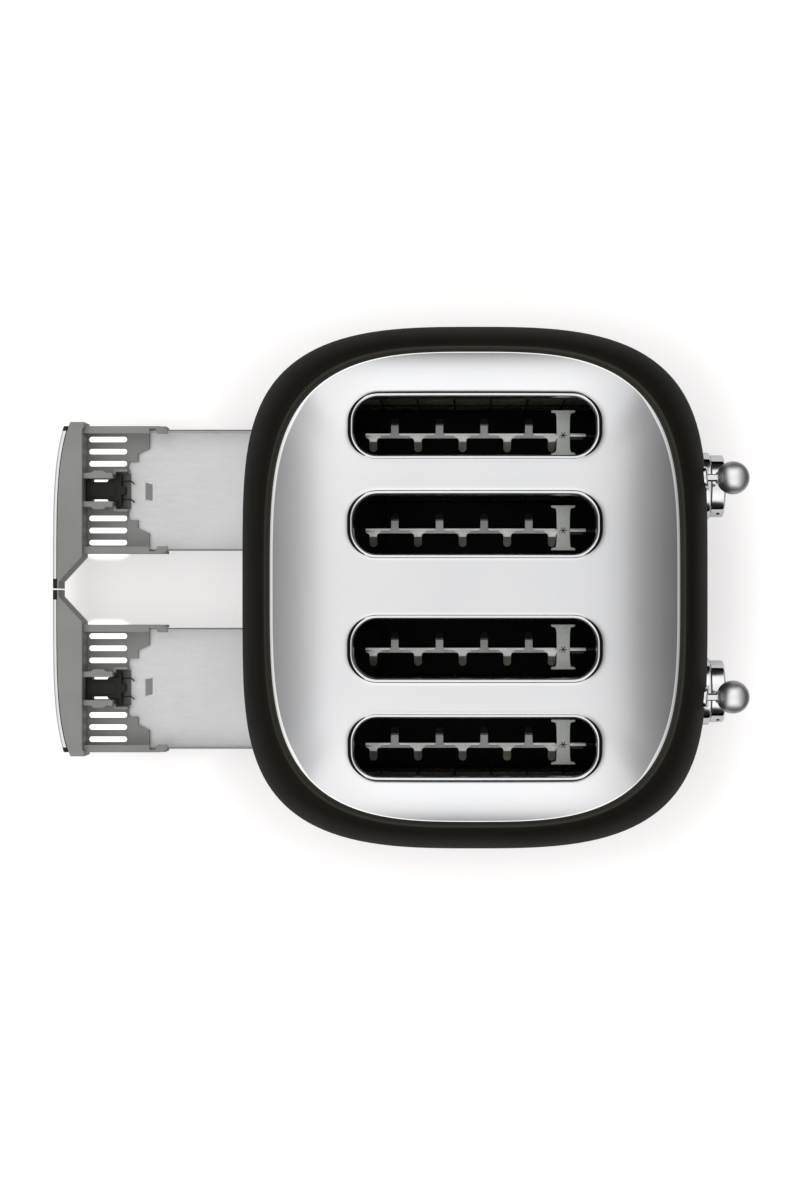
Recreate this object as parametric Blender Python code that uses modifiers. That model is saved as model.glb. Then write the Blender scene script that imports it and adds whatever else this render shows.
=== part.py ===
"""Four-slot toaster with two lift levers and two pull-out crumb trays.

Metres, +Z up. The front with the levers and knobs faces +X and the crumb trays pull out
towards -X. The origin is on the table, at the middle of the whole outline.
"""
import math

import bmesh
import bpy
from mathutils import Vector

# Clearances shared by all pieces, how far a cut runs past its piece, and the distance that
# welds points drawn twice
FIT_GAP = 0.0003
RUN_GAP = 0.0006
OVERRUN = 0.005
WELD = 0.000001

# Counts and shares that set how finely round shapes are drawn
OUTLINE_POINTS = 48
CORNER_CROWDING_SHARE = 0.1
ROUND_STEPS = 20
CORNER_STEPS = 4

# Feet, set in from the bright band
FOOT_HEIGHT = 0.0057
FOOT_RADIUS = 0.0095
FOOT_TAPER = 0.0015
FOOT_END_MARGIN = 0.0440
FOOT_SIDE_MARGIN = 0.0435

# Painted body, measured at its widest level
BODY_LENGTH = 0.289
BODY_WIDTH = 0.326
BODY_EXPONENT = 3.75
BASE_EXPONENT = 4.3
WIDEST_HEIGHT = 0.100
CREST_HEIGHT = 0.1945
SHELL_THICKNESS = 0.0012
TUCK_INSET = 0.0070
CREST_INSET = 0.0205
GROOVE_DEPTH = 0.0035
GROOVE_WIDTH = 0.0036
LEDGE_WIDTH = 0.0085
TUCK_ROWS = 3
# How far in and how far up the shoulder has come, from the widest level to the crest
SHOULDER_SHARES = (
    (0.030, 0.25), (0.150, 0.52), (0.340, 0.725), (0.530, 0.850),
    (0.720, 0.940), (0.880, 0.986), (1.000, 1.000),
)
GROOVE_FALL_SHARE = 0.45

# Base pan
BASE_TOP = 0.0340
BASE_FLANGE_HEIGHT = 0.0027
BASE_WALL = 0.0025
BASE_FLOOR = 0.0030
RUNNER_HEIGHT = 0.0023
RUNNER_WIDTH = 0.0045

# Bright band round the base, repeated on the tray fronts
BAND_SETBACK = 0.0005
BAND_THICKNESS = 0.0028
BAND_HEIGHT = 0.0180

# Bright top cover, set in from the foot of the groove
COVER_END_GAP = 0.0002
COVER_SIDE_GAP = 0.0012
COVER_EXPONENT = 3.55
COVER_THICKNESS = 0.0010
COVER_LIP = 0.0016
DOME_RISE = 0.0206
DOME_ROUND_EXPONENT = 3.6
DOME_EDGE_EXPONENT = 0.72
DOME_SHARES = (1.0, 0.99, 0.96, 0.90, 0.80, 0.64, 0.40)

# Bread slots, spread over what they leave free of half the cover's width
SLOT_OPENING_WIDTH = 0.0345
SLOT_END_MARGIN = 0.0497
SLOT_RIM = 0.0012
SLOT_END_RIM = 0.0028
SLOT_END_FLAT = 0.00305
SLOT_THROAT_RISE = 0.0045
SLOT_MIDDLE_SHARE = 0.2715
SLOT_BETWEEN_SHARE = 0.3319

# Chassis plates in front of and behind the bread slots
PLATE_SETBACK = 0.0145
PLATE_THICKNESS = 0.0012
PLATE_MARGIN = 0.00515
PLATE_HEADROOM = 0.0055
NOTCH_HEADROOM = 0.0010

# Heater panels
HEATER_THICKNESS = 0.0010
HEATER_LOW = 0.0400
HEATER_HEADROOM = 0.0130

# Bread guides: flat grids that close on the bread as the lift goes down
GUIDE_THICKNESS = 0.0012
GUIDE_SETBACK = 0.00215
GUIDE_TRAVEL = 0.0048
GUIDE_END_GAP = 0.0090
GUIDE_LOW = 0.0660
GUIDE_HEADROOM = 0.0150
GUIDE_RAIL = 0.0110
GUIDE_WIRE = 0.0020
GUIDE_WINDOWS = 6
GUIDE_TAB_HEIGHT = 0.0060
GUIDE_TAB_PROUD = 0.0018
GUIDE_TAB_FROM_LOW = 0.0085
GUIDE_TAB_FROM_HIGH = 0.0090

# Lift: carriage, racks, lever and spring
LEVER_SHIFT = 0.00165
LEVER_DROP = 0.0425
LEVER_CLEARANCE = 0.0125
CARRIAGE_GAP = 0.0068
CARRIAGE_THICKNESS = 0.0020
CARRIAGE_HALF_HEIGHT = 0.0090
CARRIAGE_OVERHANG = 0.0060
STEM_THICKNESS = 0.0038
STEM_HEIGHT = 0.0090
BALL_RADIUS = 0.0091
BALL_PROUD = 0.0115
NECK_RADIUS = 0.0036
NECK_STAND = 0.0007
RACK_OFFSET = -0.0016
RACK_THICKNESS = 0.0018
RACK_WEB_THICKNESS = 0.0014
RACK_WEB_HEIGHT = 0.0070
RACK_END_GAP = 0.0190
RACK_SHEET = 0.0014
TOOTH_PITCH = 0.0269
TOOTH_WIDTH = 0.0047
TOOTH_SHORT_REACH = 0.0071
TOOTH_LONG_REACH = 0.0099
TOOTH_SHORT_INSET = 0.0177
TOOTH_LONG_INSET = 0.0047
STRAP_SETBACK = 0.0318
STRAP_WIDTH = 0.0083
STRAP_CLEARANCE = 0.0004
STRAP_END_WIDTH = 0.0146
STRAP_END_DEPTH = 0.0016
SPRING_RADIUS = 0.0032
SPRING_SETOFF = 0.0070
LUG_THICKNESS = 0.0020
LUG_HALF_WIDTH = 0.0050
LUG_MARGIN = 0.0050
LUG_DROP = 0.0020

# Holding magnets at the bottom of the lift travel
MAGNET_DEPTH = 0.0135
MAGNET_HALF_WIDTH = 0.0070
MAGNET_HEIGHT = 0.0180

# Lever slot and its bright frame
LEVER_SLOT_SIDE = 0.0008
LEVER_SLOT_CLEARANCE = 0.0020
LEVER_FRAME_THICKNESS = 0.0022
LEVER_FRAME_SIDE = 0.0038
LEVER_FRAME_END = 0.0034

# Front controls
CONTROL_MARGIN = 0.0062
BEZEL_RADIUS = 0.0205
BEZEL_PROUD = 0.0082
BEZEL_DEPTH = 0.0187
BEZEL_RING = 0.0011
BEZEL_CUP_DEPTH = 0.0037
KNOB_GAP = 0.0004
KNOB_SUNK = 0.0014
KNOB_DEPTH = 0.0097
KNOB_EDGE = 0.0012
KNOB_BORE_DEPTH = 0.0050
SHAFT_RADIUS = 0.0030
PRESS_TRAVEL = 0.0015
BUTTON_RADIUS = 0.0040
BUTTON_MARGIN = 0.0045
BUTTON_SPREAD = math.radians(35)
BUTTON_STEPS = (-1, 0, 1)
BUTTON_PROUD = 0.0018

# Control board on its posts
BOARD_SETBACK = 0.0265
BOARD_THICKNESS = 0.0016
BOARD_MARGIN = 0.0258
BOARD_DROP = 0.0230
BOARD_RISE = 0.0210
POST_RADIUS = 0.0030
POST_INSET = 0.0080

# Crumb trays. The block is measured from the bright strip, all else from the block's back.
TRAY_OPEN = 0.1420
TRAY_SPLIT = 0.0008
TRAY_FRONT_MARGIN = 0.0452
TRAY_INNER_EDGE = 0.0234
TRAY_SIDE_MARGIN = 0.0023
BLOCK_END_DEPTH = 0.00827
BLOCK_NOSE_REACH = 0.0064
BLOCK_NOSE_END = 0.0050
BLOCK_CHAMFER_END = 0.0232
TRAY_PLATE_SHEET = 0.0020
TRAY_PLATE_LENGTH = 0.0439
STEP_LENGTH = 0.0368
NOTCH_LENGTH = 0.0315
STEP_OUTER_INSET = 0.0106
STEP_MIDDLE_INSET = 0.0035
STEP_INNER_INSET = 0.0053
RAIL_LENGTH = 0.0570
RAIL_THICKNESS = 0.0020
RAIL_LIP = 0.0049
RAIL_LIP_THICKNESS = 0.0015
VENT_INSET = 0.0038
VENT_LENGTH = 0.0251
VENT_WIDTH = 0.0036
VENT_FIRST = 0.01825
VENT_PITCH = 0.0081
CAGE_THICKNESS = 0.0038
CAGE_HEIGHT = 0.0078
LATCH_LENGTH = 0.0253
LATCH_HALF_WIDTH = 0.0072
LATCH_HEIGHT = 0.0068
LATCH_FLANGE_HALF = 0.0110
LATCH_FLANGE_LENGTH = 0.0027
LATCH_NOSE_HALF = 0.0030
LATCH_NOSE_LENGTH = 0.0038
HOOK_INSET = 0.0009
HOOK_THICKNESS = 0.0010
HOOK_LENGTH = 0.0085
HOOK_HEIGHT = 0.0025
PAN_INSET = 0.0296
PAN_FRONT_MARGIN = 0.0545
PAN_SHEET = 0.0008
PAN_HEIGHT = 0.0144
WINDOW_INSET = 0.0116
WINDOW_LENGTH = 0.0062
WINDOW_HALF_WIDTH = 0.0066
FRONT_CURVE_POINTS = 9

# Cord gland at the back
GLAND_HEIGHT = 0.0600
GLAND_RADIUS = 0.0050
GLAND_WALL = 0.0016
GLAND_FLANGE_LIP = 0.0030
GLAND_FLANGE_THICKNESS = 0.0020
GLAND_PROUD = 0.0020
GLAND_LENGTH = 0.0170

# Levels worked out from the values above
BASE_BOTTOM = FOOT_HEIGHT + FIT_GAP
FLOOR_TOP = BASE_BOTTOM + BASE_FLOOR
RUNNER_TOP = FLOOR_TOP + RUNNER_HEIGHT
SHELL_BOTTOM = BASE_TOP + FIT_GAP
CONTROL_HEIGHT = SHELL_BOTTOM + CONTROL_MARGIN + BEZEL_RADIUS
BOARD_LOW = CONTROL_HEIGHT - BOARD_DROP
BOARD_HIGH = CONTROL_HEIGHT + BOARD_RISE
BAND_HIGH = BASE_TOP - BASE_FLANGE_HEIGHT - FIT_GAP
BAND_LOW = BAND_HIGH - BAND_HEIGHT
LEDGE_HEIGHT = CREST_HEIGHT - GROOVE_DEPTH
COVER_BOTTOM = LEDGE_HEIGHT + FIT_GAP
COVER_TOP = COVER_BOTTOM + COVER_LIP + DOME_RISE
SLOT_THROAT_LOW = LEDGE_HEIGHT + SLOT_THROAT_RISE
PLATE_TOP = LEDGE_HEIGHT - PLATE_HEADROOM
HEATER_HIGH = LEDGE_HEIGHT - HEATER_HEADROOM
GUIDE_HIGH = LEDGE_HEIGHT - GUIDE_HEADROOM
GUIDE_TAB_LOW = GUIDE_LOW + GUIDE_TAB_FROM_LOW
GUIDE_TAB_HIGH = GUIDE_HIGH - GUIDE_TAB_FROM_HIGH
LEVER_HEIGHT = CREST_HEIGHT - LEVER_DROP
LIFT_TRAVEL = LEVER_HEIGHT - CONTROL_HEIGHT - BEZEL_RADIUS - LEVER_CLEARANCE
RACK_HEIGHT = LEVER_HEIGHT
TRAY_LOW = RUNNER_TOP + FIT_GAP
TRAY_PLATE_LOW = TRAY_LOW + PAN_SHEET + FIT_GAP
TRAY_PLATE_TOP = TRAY_PLATE_LOW + TRAY_PLATE_SHEET
BLOCK_TOP = BASE_TOP - RUN_GAP
CAGE_TOP = TRAY_PLATE_TOP + CAGE_HEIGHT
LATCH_TOP = TRAY_PLATE_TOP + LATCH_HEIGHT
RAIL_TOP = TRAY_LOW + PAN_HEIGHT + FIT_GAP + RAIL_LIP_THICKNESS
TRAY_NOTCH_TOP = RAIL_TOP + NOTCH_HEADROOM

# Places from front to back
BAND_HALF_LENGTH = BODY_LENGTH / 2 - TUCK_INSET - BAND_SETBACK
BASE_INSET = BAND_THICKNESS + FIT_GAP
COVER_LENGTH = BODY_LENGTH - 2 * (CREST_INSET + GROOVE_WIDTH + COVER_END_GAP)
SLOT_OPENING_LENGTH = COVER_LENGTH - 2 * SLOT_END_MARGIN
PLATE_X = SLOT_OPENING_LENGTH / 2 + PLATE_SETBACK
GUIDE_HALF_LENGTH = PLATE_X - GUIDE_END_GAP
GUIDE_TAB_REACH = PLATE_X + PLATE_THICKNESS + GUIDE_TAB_PROUD
RACK_START = RACK_END_GAP - PLATE_X
STRAP_X = PLATE_X - STRAP_SETBACK
TOOTH_SHORT_FIRST = RACK_START + TOOTH_SHORT_INSET
TOOTH_LONG_FIRST = RACK_START + TOOTH_LONG_INSET
LAST_TOOTH = STRAP_X - STRAP_WIDTH / 2 - TOOTH_WIDTH / 2
SHORT_TEETH = math.floor((LAST_TOOTH - TOOTH_SHORT_FIRST) / TOOTH_PITCH) + 1
LONG_TEETH = math.floor((LAST_TOOTH - TOOTH_LONG_FIRST) / TOOTH_PITCH) + 1
CARRIAGE_X = PLATE_X + PLATE_THICKNESS + CARRIAGE_GAP
SPRING_X = CARRIAGE_X + SPRING_SETOFF
LUG_REACH = SPRING_X + LUG_MARGIN
BOARD_X = BODY_LENGTH / 2 - BOARD_SETBACK
BALL_X = BODY_LENGTH / 2 + BALL_PROUD
LEVER_REACH = BALL_X + BALL_RADIUS
NECK_START = BALL_X - BALL_RADIUS - NECK_STAND
STEM_END = NECK_START - FIT_GAP
BEZEL_FRONT = BODY_LENGTH / 2 + BEZEL_PROUD
BEZEL_BACK = BEZEL_FRONT - BEZEL_DEPTH
BEZEL_FLOOR = BEZEL_FRONT - BEZEL_CUP_DEPTH
KNOB_BACK = BEZEL_FRONT - KNOB_SUNK
TRAY_REACH = BAND_HALF_LENGTH + TRAY_OPEN
PAN_END = 2 * BAND_HALF_LENGTH - PAN_FRONT_MARGIN

# Places across
BAND_HALF_WIDTH = BODY_WIDTH / 2 - TUCK_INSET - BAND_SETBACK
COVER_WIDTH = BODY_WIDTH - 2 * (CREST_INSET + GROOVE_WIDTH + COVER_SIDE_GAP)
SLOTS_FREE = COVER_WIDTH / 2 - 2 * SLOT_OPENING_WIDTH
SLOT_CORNER = SLOT_OPENING_WIDTH / 2 - SLOT_END_FLAT
SLOT_INNER_Y = SLOTS_FREE * SLOT_MIDDLE_SHARE + SLOT_OPENING_WIDTH / 2
SLOT_OUTER_Y = SLOT_INNER_Y + SLOT_OPENING_WIDTH + SLOTS_FREE * SLOT_BETWEEN_SHARE
SLOT_CENTRES = (SLOT_INNER_Y, SLOT_OUTER_Y)
HEATER_SPACING = (SLOT_OUTER_Y - SLOT_INNER_Y) / 2
PLATE_HALF_WIDTH = SLOT_OUTER_Y + HEATER_SPACING + PLATE_MARGIN
GUIDE_REST = SLOT_OPENING_WIDTH / 2 + GUIDE_SETBACK
STRAP_HALF_SPAN = GUIDE_REST - GUIDE_TRAVEL - GUIDE_THICKNESS / 2 - STRAP_CLEARANCE
LEVER_Y = (SLOT_INNER_Y + SLOT_OUTER_Y) / 2 + LEVER_SHIFT
LEVER_SLOT_WIDTH = STEM_THICKNESS + 2 * LEVER_SLOT_SIDE
KNOB_RADIUS = BEZEL_RADIUS - BEZEL_RING - KNOB_GAP
BUTTON_ORBIT = BEZEL_RADIUS + BUTTON_RADIUS + BUTTON_MARGIN
BOARD_HALF_WIDTH = LEVER_Y + BOARD_MARGIN
TRAY_FRONT_HALF = BAND_HALF_WIDTH - TRAY_FRONT_MARGIN
RAIL_HALF_SPAN = (TRAY_FRONT_HALF - TRAY_SIDE_MARGIN - TRAY_INNER_EDGE) / 2
TRAY_Y = TRAY_INNER_EDGE + RAIL_HALF_SPAN
PAN_HALF_WIDTH = RAIL_HALF_SPAN - RAIL_THICKNESS - FIT_GAP
CAGE_INNER = LATCH_HALF_WIDTH + FIT_GAP
HOOK_Y = LATCH_HALF_WIDTH - HOOK_INSET
SIDES = (("right", 1), ("left", -1))

COLLECTION_NAME = "four_slot_toaster"
CUTTER_COLLECTION_NAME = "four_slot_toaster_cutters"


def clear_scene():
    for item in list(bpy.data.objects):
        bpy.data.objects.remove(item, do_unlink=True)
    for group in list(bpy.data.collections):
        bpy.data.collections.remove(group)


def new_collection(name):
    group = bpy.data.collections.new(name)
    bpy.context.scene.collection.children.link(group)
    return group


def material(name, colour, roughness, metallic):
    surface = bpy.data.materials.new(name)
    surface.use_nodes = True
    shader = surface.node_tree.nodes["Principled BSDF"]
    shader.inputs["Base Color"].default_value = (*colour, 1.0)
    shader.inputs["Roughness"].default_value = roughness
    shader.inputs["Metallic"].default_value = metallic
    surface.diffuse_color = (*colour, 1.0)
    return surface


clear_scene()
PARTS = new_collection(COLLECTION_NAME)
CUTTERS = new_collection(CUTTER_COLLECTION_NAME)
ROOT = bpy.data.objects.new("toaster_origin", None)
ROOT.location = ((TRAY_REACH - LEVER_REACH) / 2, 0, 0)
PARTS.objects.link(ROOT)


def add_object(name, mesh, surface=None, location=(0, 0, 0)):
    """A surface makes a part. Without one the object is a cutter or a guide."""
    item = bpy.data.objects.new(name, mesh)
    if surface is None:
        CUTTERS.objects.link(item)
        item.hide_render = True
        item.display_type = "WIRE"
    else:
        PARTS.objects.link(item)
        mesh.materials.append(surface)
    item.parent = ROOT
    item.location = location
    return item


def box(name, low, high, surface=None):
    centre = (Vector(low) + Vector(high)) / 2
    size = Vector(high) - Vector(low)
    shape = bmesh.new()
    bmesh.ops.create_cube(shape, size=1)
    bmesh.ops.scale(shape, vec=size, verts=shape.verts)
    mesh = bpy.data.meshes.new(name)
    shape.to_mesh(mesh)
    shape.free()
    return add_object(name, mesh, surface, centre)


def smooth(mesh, angle=math.radians(40)):
    mesh.shade_smooth()
    mesh.set_sharp_from_angle(angle=angle)


def cylinder(name, radius, low_x, high_x, y, z, surface=None, steps=ROUND_STEPS, far_radius=None):
    """A cylinder or cone along X, from low_x to high_x."""
    shape = bmesh.new()
    bmesh.ops.create_cone(shape, cap_ends=True, segments=steps, radius1=radius,
                          radius2=radius if far_radius is None else far_radius, depth=high_x - low_x)
    mesh = bpy.data.meshes.new(name)
    shape.to_mesh(mesh)
    shape.free()
    smooth(mesh)
    item = add_object(name, mesh, surface, ((low_x + high_x) / 2, y, z))
    item.rotation_euler = (0, math.pi / 2, 0)
    return item


def turned(name, profile, location, rotation, surface=None, steps=ROUND_STEPS):
    """A profile of (radius, height) points, down its outer side, turned round the local Z axis."""
    mesh = bpy.data.meshes.new(name)
    points = [(radius, 0, height) for radius, height in profile]
    closed = profile[0][0] > 0
    count = len(points)
    edges = [(i, (i + 1) % count) for i in range(count if closed else count - 1)]
    mesh.from_pydata(points, edges, [])
    item = add_object(name, mesh, surface, location)
    item.rotation_euler = rotation
    screw = item.modifiers.new("turn", "SCREW")
    screw.angle = 2 * math.pi
    screw.steps = steps
    screw.render_steps = steps
    screw.use_merge_vertices = True
    screw.merge_threshold = WELD
    screw.use_smooth_shade = True
    return item


def rounded_outline(size_x, size_y, radius, steps=CORNER_STEPS):
    points = []
    for quarter, (sign_x, sign_y) in enumerate(((1, 1), (-1, 1), (-1, -1), (1, -1))):
        centre_x = sign_x * (size_x / 2 - radius)
        centre_y = sign_y * (size_y / 2 - radius)
        for step in range(steps + 1):
            angle = math.pi / 2 * (quarter + step / steps)
            points.append((centre_x + radius * math.cos(angle), centre_y + radius * math.sin(angle)))
    return points


def rectangle(low_x, low_y, high_x, high_y):
    return [(low_x, low_y), (high_x, low_y), (high_x, high_y), (low_x, high_y)]


def flat_piece(name, outlines, thickness, location, rotation=(0, 0, 0), surface=None):
    """Extrude flat outlines (the first is the edge, the rest are holes) about their own plane."""
    curve = bpy.data.curves.new(name + "_outline", "CURVE")
    curve.dimensions = "2D"
    curve.fill_mode = "BOTH"
    curve.extrude = thickness / 2
    for outline in outlines:
        spline = curve.splines.new("POLY")
        spline.points.add(len(outline) - 1)
        for point, (x, y) in zip(spline.points, outline):
            point.co = (x, y, 0, 1)
        spline.use_cyclic_u = True
    holder = bpy.data.objects.new(name + "_curve", curve)
    CUTTERS.objects.link(holder)
    graph = bpy.context.evaluated_depsgraph_get()
    mesh = bpy.data.meshes.new_from_object(holder.evaluated_get(graph))
    mesh.name = name
    mesh.materials.clear()
    bpy.data.objects.remove(holder)
    bpy.data.curves.remove(curve)
    shape = bmesh.new()
    shape.from_mesh(mesh)
    bmesh.ops.remove_doubles(shape, verts=shape.verts, dist=WELD)
    bmesh.ops.beautify_fill(shape, faces=shape.faces, edges=shape.edges)
    shape.to_mesh(mesh)
    shape.free()
    item = add_object(name, mesh, surface, location)
    item.rotation_euler = rotation
    return item


def combine(target, operand, operation="DIFFERENCE"):
    """Cut, join or intersect a part with a shape that is kept among the cutters."""
    modifier = target.modifiers.new(operation.lower(), "BOOLEAN")
    modifier.operation = operation
    modifier.object = operand
    return target


def superellipse(half_x, half_y, exponent, height):
    """Outline points, set a little closer together round the corners."""
    points = []
    for index in range(OUTLINE_POINTS):
        turn = 2 * math.pi * index / OUTLINE_POINTS
        angle = turn + CORNER_CROWDING_SHARE * math.sin(4 * turn)
        along, across = math.cos(angle), math.sin(angle)
        reach = ((abs(along) / half_x) ** exponent + (abs(across) / half_y) ** exponent) ** (-1 / exponent)
        points.append((reach * along, reach * across, height))
    return points


def superellipse_x(half_x, half_y, exponent, y):
    return half_x * (1 - (abs(y) / half_y) ** exponent) ** (1 / exponent)


def loft(name, rings, surface=None, capped=True):
    """Walls between closed rings of equal count, from the lowest to the highest."""
    shape = bmesh.new()
    rows = [[shape.verts.new(point) for point in ring] for ring in rings]
    for lower, upper in zip(rows, rows[1:]):
        for index in range(len(lower)):
            after = (index + 1) % len(lower)
            shape.faces.new((lower[index], lower[after], upper[after], upper[index]))
    if capped:
        shape.faces.new(list(reversed(rows[0])))
        shape.faces.new(rows[-1])
    mesh = bpy.data.meshes.new(name)
    shape.to_mesh(mesh)
    shape.free()
    smooth(mesh)
    return add_object(name, mesh, surface)


def body_rows():
    """(inset, exponent, height) of the painted body, from its bottom edge to its crest."""
    rows = []
    for row in range(TUCK_ROWS + 1):
        share = row / TUCK_ROWS
        rows.append((TUCK_INSET * (1 - share) ** 2,
                     BASE_EXPONENT + (BODY_EXPONENT - BASE_EXPONENT) * share,
                     SHELL_BOTTOM + (WIDEST_HEIGHT - SHELL_BOTTOM) * share))
    for inward, upward in SHOULDER_SHARES:
        rows.append((CREST_INSET * inward, BODY_EXPONENT,
                     WIDEST_HEIGHT + (CREST_HEIGHT - WIDEST_HEIGHT) * upward))
    return rows


def body_ring(inset, exponent, height):
    return superellipse(BODY_LENGTH / 2 - inset, BODY_WIDTH / 2 - inset, exponent, height)


def front_surface(y, z):
    """X of the painted body's front at a place across it, between the modelled rows."""
    rows = body_rows()
    for lower, upper in zip(rows, rows[1:]):
        if lower[2] <= z <= upper[2]:
            share = (z - lower[2]) / (upper[2] - lower[2])
            ends = [superellipse_x(BODY_LENGTH / 2 - inset, BODY_WIDTH / 2 - inset, exponent, y)
                    for inset, exponent, height in (lower, upper)]
            return ends[0] + (ends[1] - ends[0]) * share
    raise ValueError("height is outside the painted body")


def button_places(side):
    """Centres of the three function buttons beside a knob, towards the middle of the front."""
    places = []
    for step in BUTTON_STEPS:
        angle = step * BUTTON_SPREAD
        places.append((side * (LEVER_Y - BUTTON_ORBIT * math.cos(angle)),
                       CONTROL_HEIGHT + BUTTON_ORBIT * math.sin(angle)))
    return places


def lever_slot_ends():
    low = LEVER_HEIGHT - LIFT_TRAVEL - STEM_HEIGHT / 2 - LEVER_SLOT_CLEARANCE
    high = LEVER_HEIGHT + STEM_HEIGHT / 2 + LEVER_SLOT_CLEARANCE
    return low, high


def facing_front():
    """Turns a flat outline drawn as (across, up) so that it stands across X."""
    return (math.pi / 2, 0, math.pi / 2)


def make_outer_shell(paint):
    """Deep-drawn painted body with a rolled shoulder that dips to the ledge under the cover."""
    rings = [body_ring(*row) for row in body_rows()]
    groove_inset = CREST_INSET + GROOVE_WIDTH
    rings.append(body_ring(CREST_INSET + GROOVE_WIDTH * GROOVE_FALL_SHARE, BODY_EXPONENT,
                           CREST_HEIGHT - GROOVE_DEPTH * GROOVE_FALL_SHARE ** 2))
    rings.append(body_ring(groove_inset, COVER_EXPONENT, LEDGE_HEIGHT))
    rings.append(body_ring(groove_inset + LEDGE_WIDTH, COVER_EXPONENT, LEDGE_HEIGHT))
    shell = loft("outer_shell", rings, paint, capped=False)
    wall = shell.modifiers.new("wall", "SOLIDIFY")
    wall.thickness = SHELL_THICKNESS
    wall.offset = -1
    wall.use_even_offset = True
    low, high = lever_slot_ends()
    inner_x = BODY_LENGTH / 2 - CREST_INSET - OVERRUN
    outer_x = BODY_LENGTH / 2 + OVERRUN
    for name, side in SIDES:
        slot = flat_piece("lever_slot_cut_" + name,
                          [rounded_outline(LEVER_SLOT_WIDTH, high - low, LEVER_SLOT_WIDTH / 2)],
                          outer_x - inner_x,
                          ((inner_x + outer_x) / 2, side * LEVER_Y, (low + high) / 2), facing_front())
        combine(shell, slot)
        combine(shell, cylinder("shaft_cut_" + name, SHAFT_RADIUS + FIT_GAP, inner_x, outer_x,
                                side * LEVER_Y, CONTROL_HEIGHT))
        for number, (y, z) in enumerate(button_places(side)):
            combine(shell, cylinder("button_cut_%s_%d" % (name, number), BUTTON_RADIUS + FIT_GAP,
                                    inner_x, outer_x, y, z))
    combine(shell, cylinder("gland_cut", GLAND_RADIUS + FIT_GAP, -outer_x, -inner_x, 0, GLAND_HEIGHT))
    return shell


def dome_rings(inset, drop, bottom):
    """Rings of the cover's outline that rise to its crown, inset and lowered for the inner face."""
    half_x = COVER_LENGTH / 2 - inset
    half_y = COVER_WIDTH / 2 - inset
    rings = [superellipse(half_x, half_y, COVER_EXPONENT, bottom)]
    for share in DOME_SHARES:
        rise = DOME_RISE * (1 - share ** DOME_ROUND_EXPONENT) ** DOME_EDGE_EXPONENT
        rings.append(superellipse(half_x * share, half_y * share, COVER_EXPONENT,
                                  COVER_BOTTOM + COVER_LIP + rise - drop))
    return rings


def slot_prism(name, side, centre, extra_end, extra_side, low):
    outline = rounded_outline(SLOT_OPENING_LENGTH + 2 * extra_end, SLOT_OPENING_WIDTH + 2 * extra_side,
                              SLOT_CORNER + extra_side)
    high = COVER_TOP + OVERRUN
    return flat_piece(name, [outline], high - low, (0, side * centre, (low + high) / 2))


def make_top_cover(steel):
    """Domed cover with four slots, each with a short drawn throat."""
    cover = loft("top_cover", dome_rings(0, 0, COVER_BOTTOM), steel)
    hollow = loft("cover_hollow", dome_rings(COVER_THICKNESS, COVER_THICKNESS, COVER_BOTTOM - OVERRUN))
    for name, side in SIDES:
        for number, centre in enumerate(SLOT_CENTRES):
            collar = slot_prism("throat_%s_%d" % (name, number), side, centre,
                                SLOT_END_RIM, SLOT_RIM, SLOT_THROAT_LOW)
            combine(hollow, collar)
    combine(cover, hollow)
    for name, side in SIDES:
        for number, centre in enumerate(SLOT_CENTRES):
            opening = slot_prism("slot_cut_%s_%d" % (name, number), side, centre, 0, 0,
                                 COVER_BOTTOM - OVERRUN)
            combine(cover, opening)
    return cover


def base_ring(inset, height):
    return superellipse(BAND_HALF_LENGTH - inset, BAND_HALF_WIDTH - inset, BASE_EXPONENT, height)


def tray_opening_cut(name, low, high):
    half = TRAY_FRONT_HALF + RUN_GAP
    return box(name, (-BAND_HALF_LENGTH - OVERRUN, -half, low), (-PLATE_X, half, high))


def make_base_pan(plastic):
    """Moulded base with a rim under the shell, an open back and four runners for the trays."""
    flange = BASE_TOP - BASE_FLANGE_HEIGHT
    pan = loft("base_pan", [base_ring(BASE_INSET, BASE_BOTTOM), base_ring(BASE_INSET, flange),
                            base_ring(0, flange), base_ring(0, BASE_TOP)], plastic)
    hollow = loft("base_hollow", [base_ring(BASE_INSET + BASE_WALL, FLOOR_TOP),
                                  base_ring(BASE_INSET + BASE_WALL, BASE_TOP + OVERRUN)])
    combine(pan, hollow)
    combine(pan, tray_opening_cut("tray_opening_base", FLOOR_TOP, BASE_TOP + OVERRUN))
    back = block_back() + TRAY_OPEN
    for name, side in SIDES:
        for place, edge in (("in", -1), ("out", 1)):
            middle = side * (TRAY_Y + edge * (RAIL_HALF_SPAN - RUNNER_WIDTH / 2))
            runner = box("runner_%s_%s" % (name, place),
                         (back, middle - RUNNER_WIDTH / 2, FLOOR_TOP - BASE_FLOOR / 2),
                         (PAN_END - BAND_HALF_LENGTH, middle + RUNNER_WIDTH / 2, RUNNER_TOP))
            combine(pan, runner, "UNION")
    return pan


def make_base_trim(chrome):
    band = loft("base_trim", [base_ring(0, BAND_LOW), base_ring(0, BAND_HIGH)], chrome, capped=False)
    wall = band.modifiers.new("wall", "SOLIDIFY")
    wall.thickness = BAND_THICKNESS
    wall.offset = -1
    combine(band, tray_opening_cut("tray_opening_band", BAND_LOW - OVERRUN, BAND_HIGH + OVERRUN))
    return band


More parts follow.
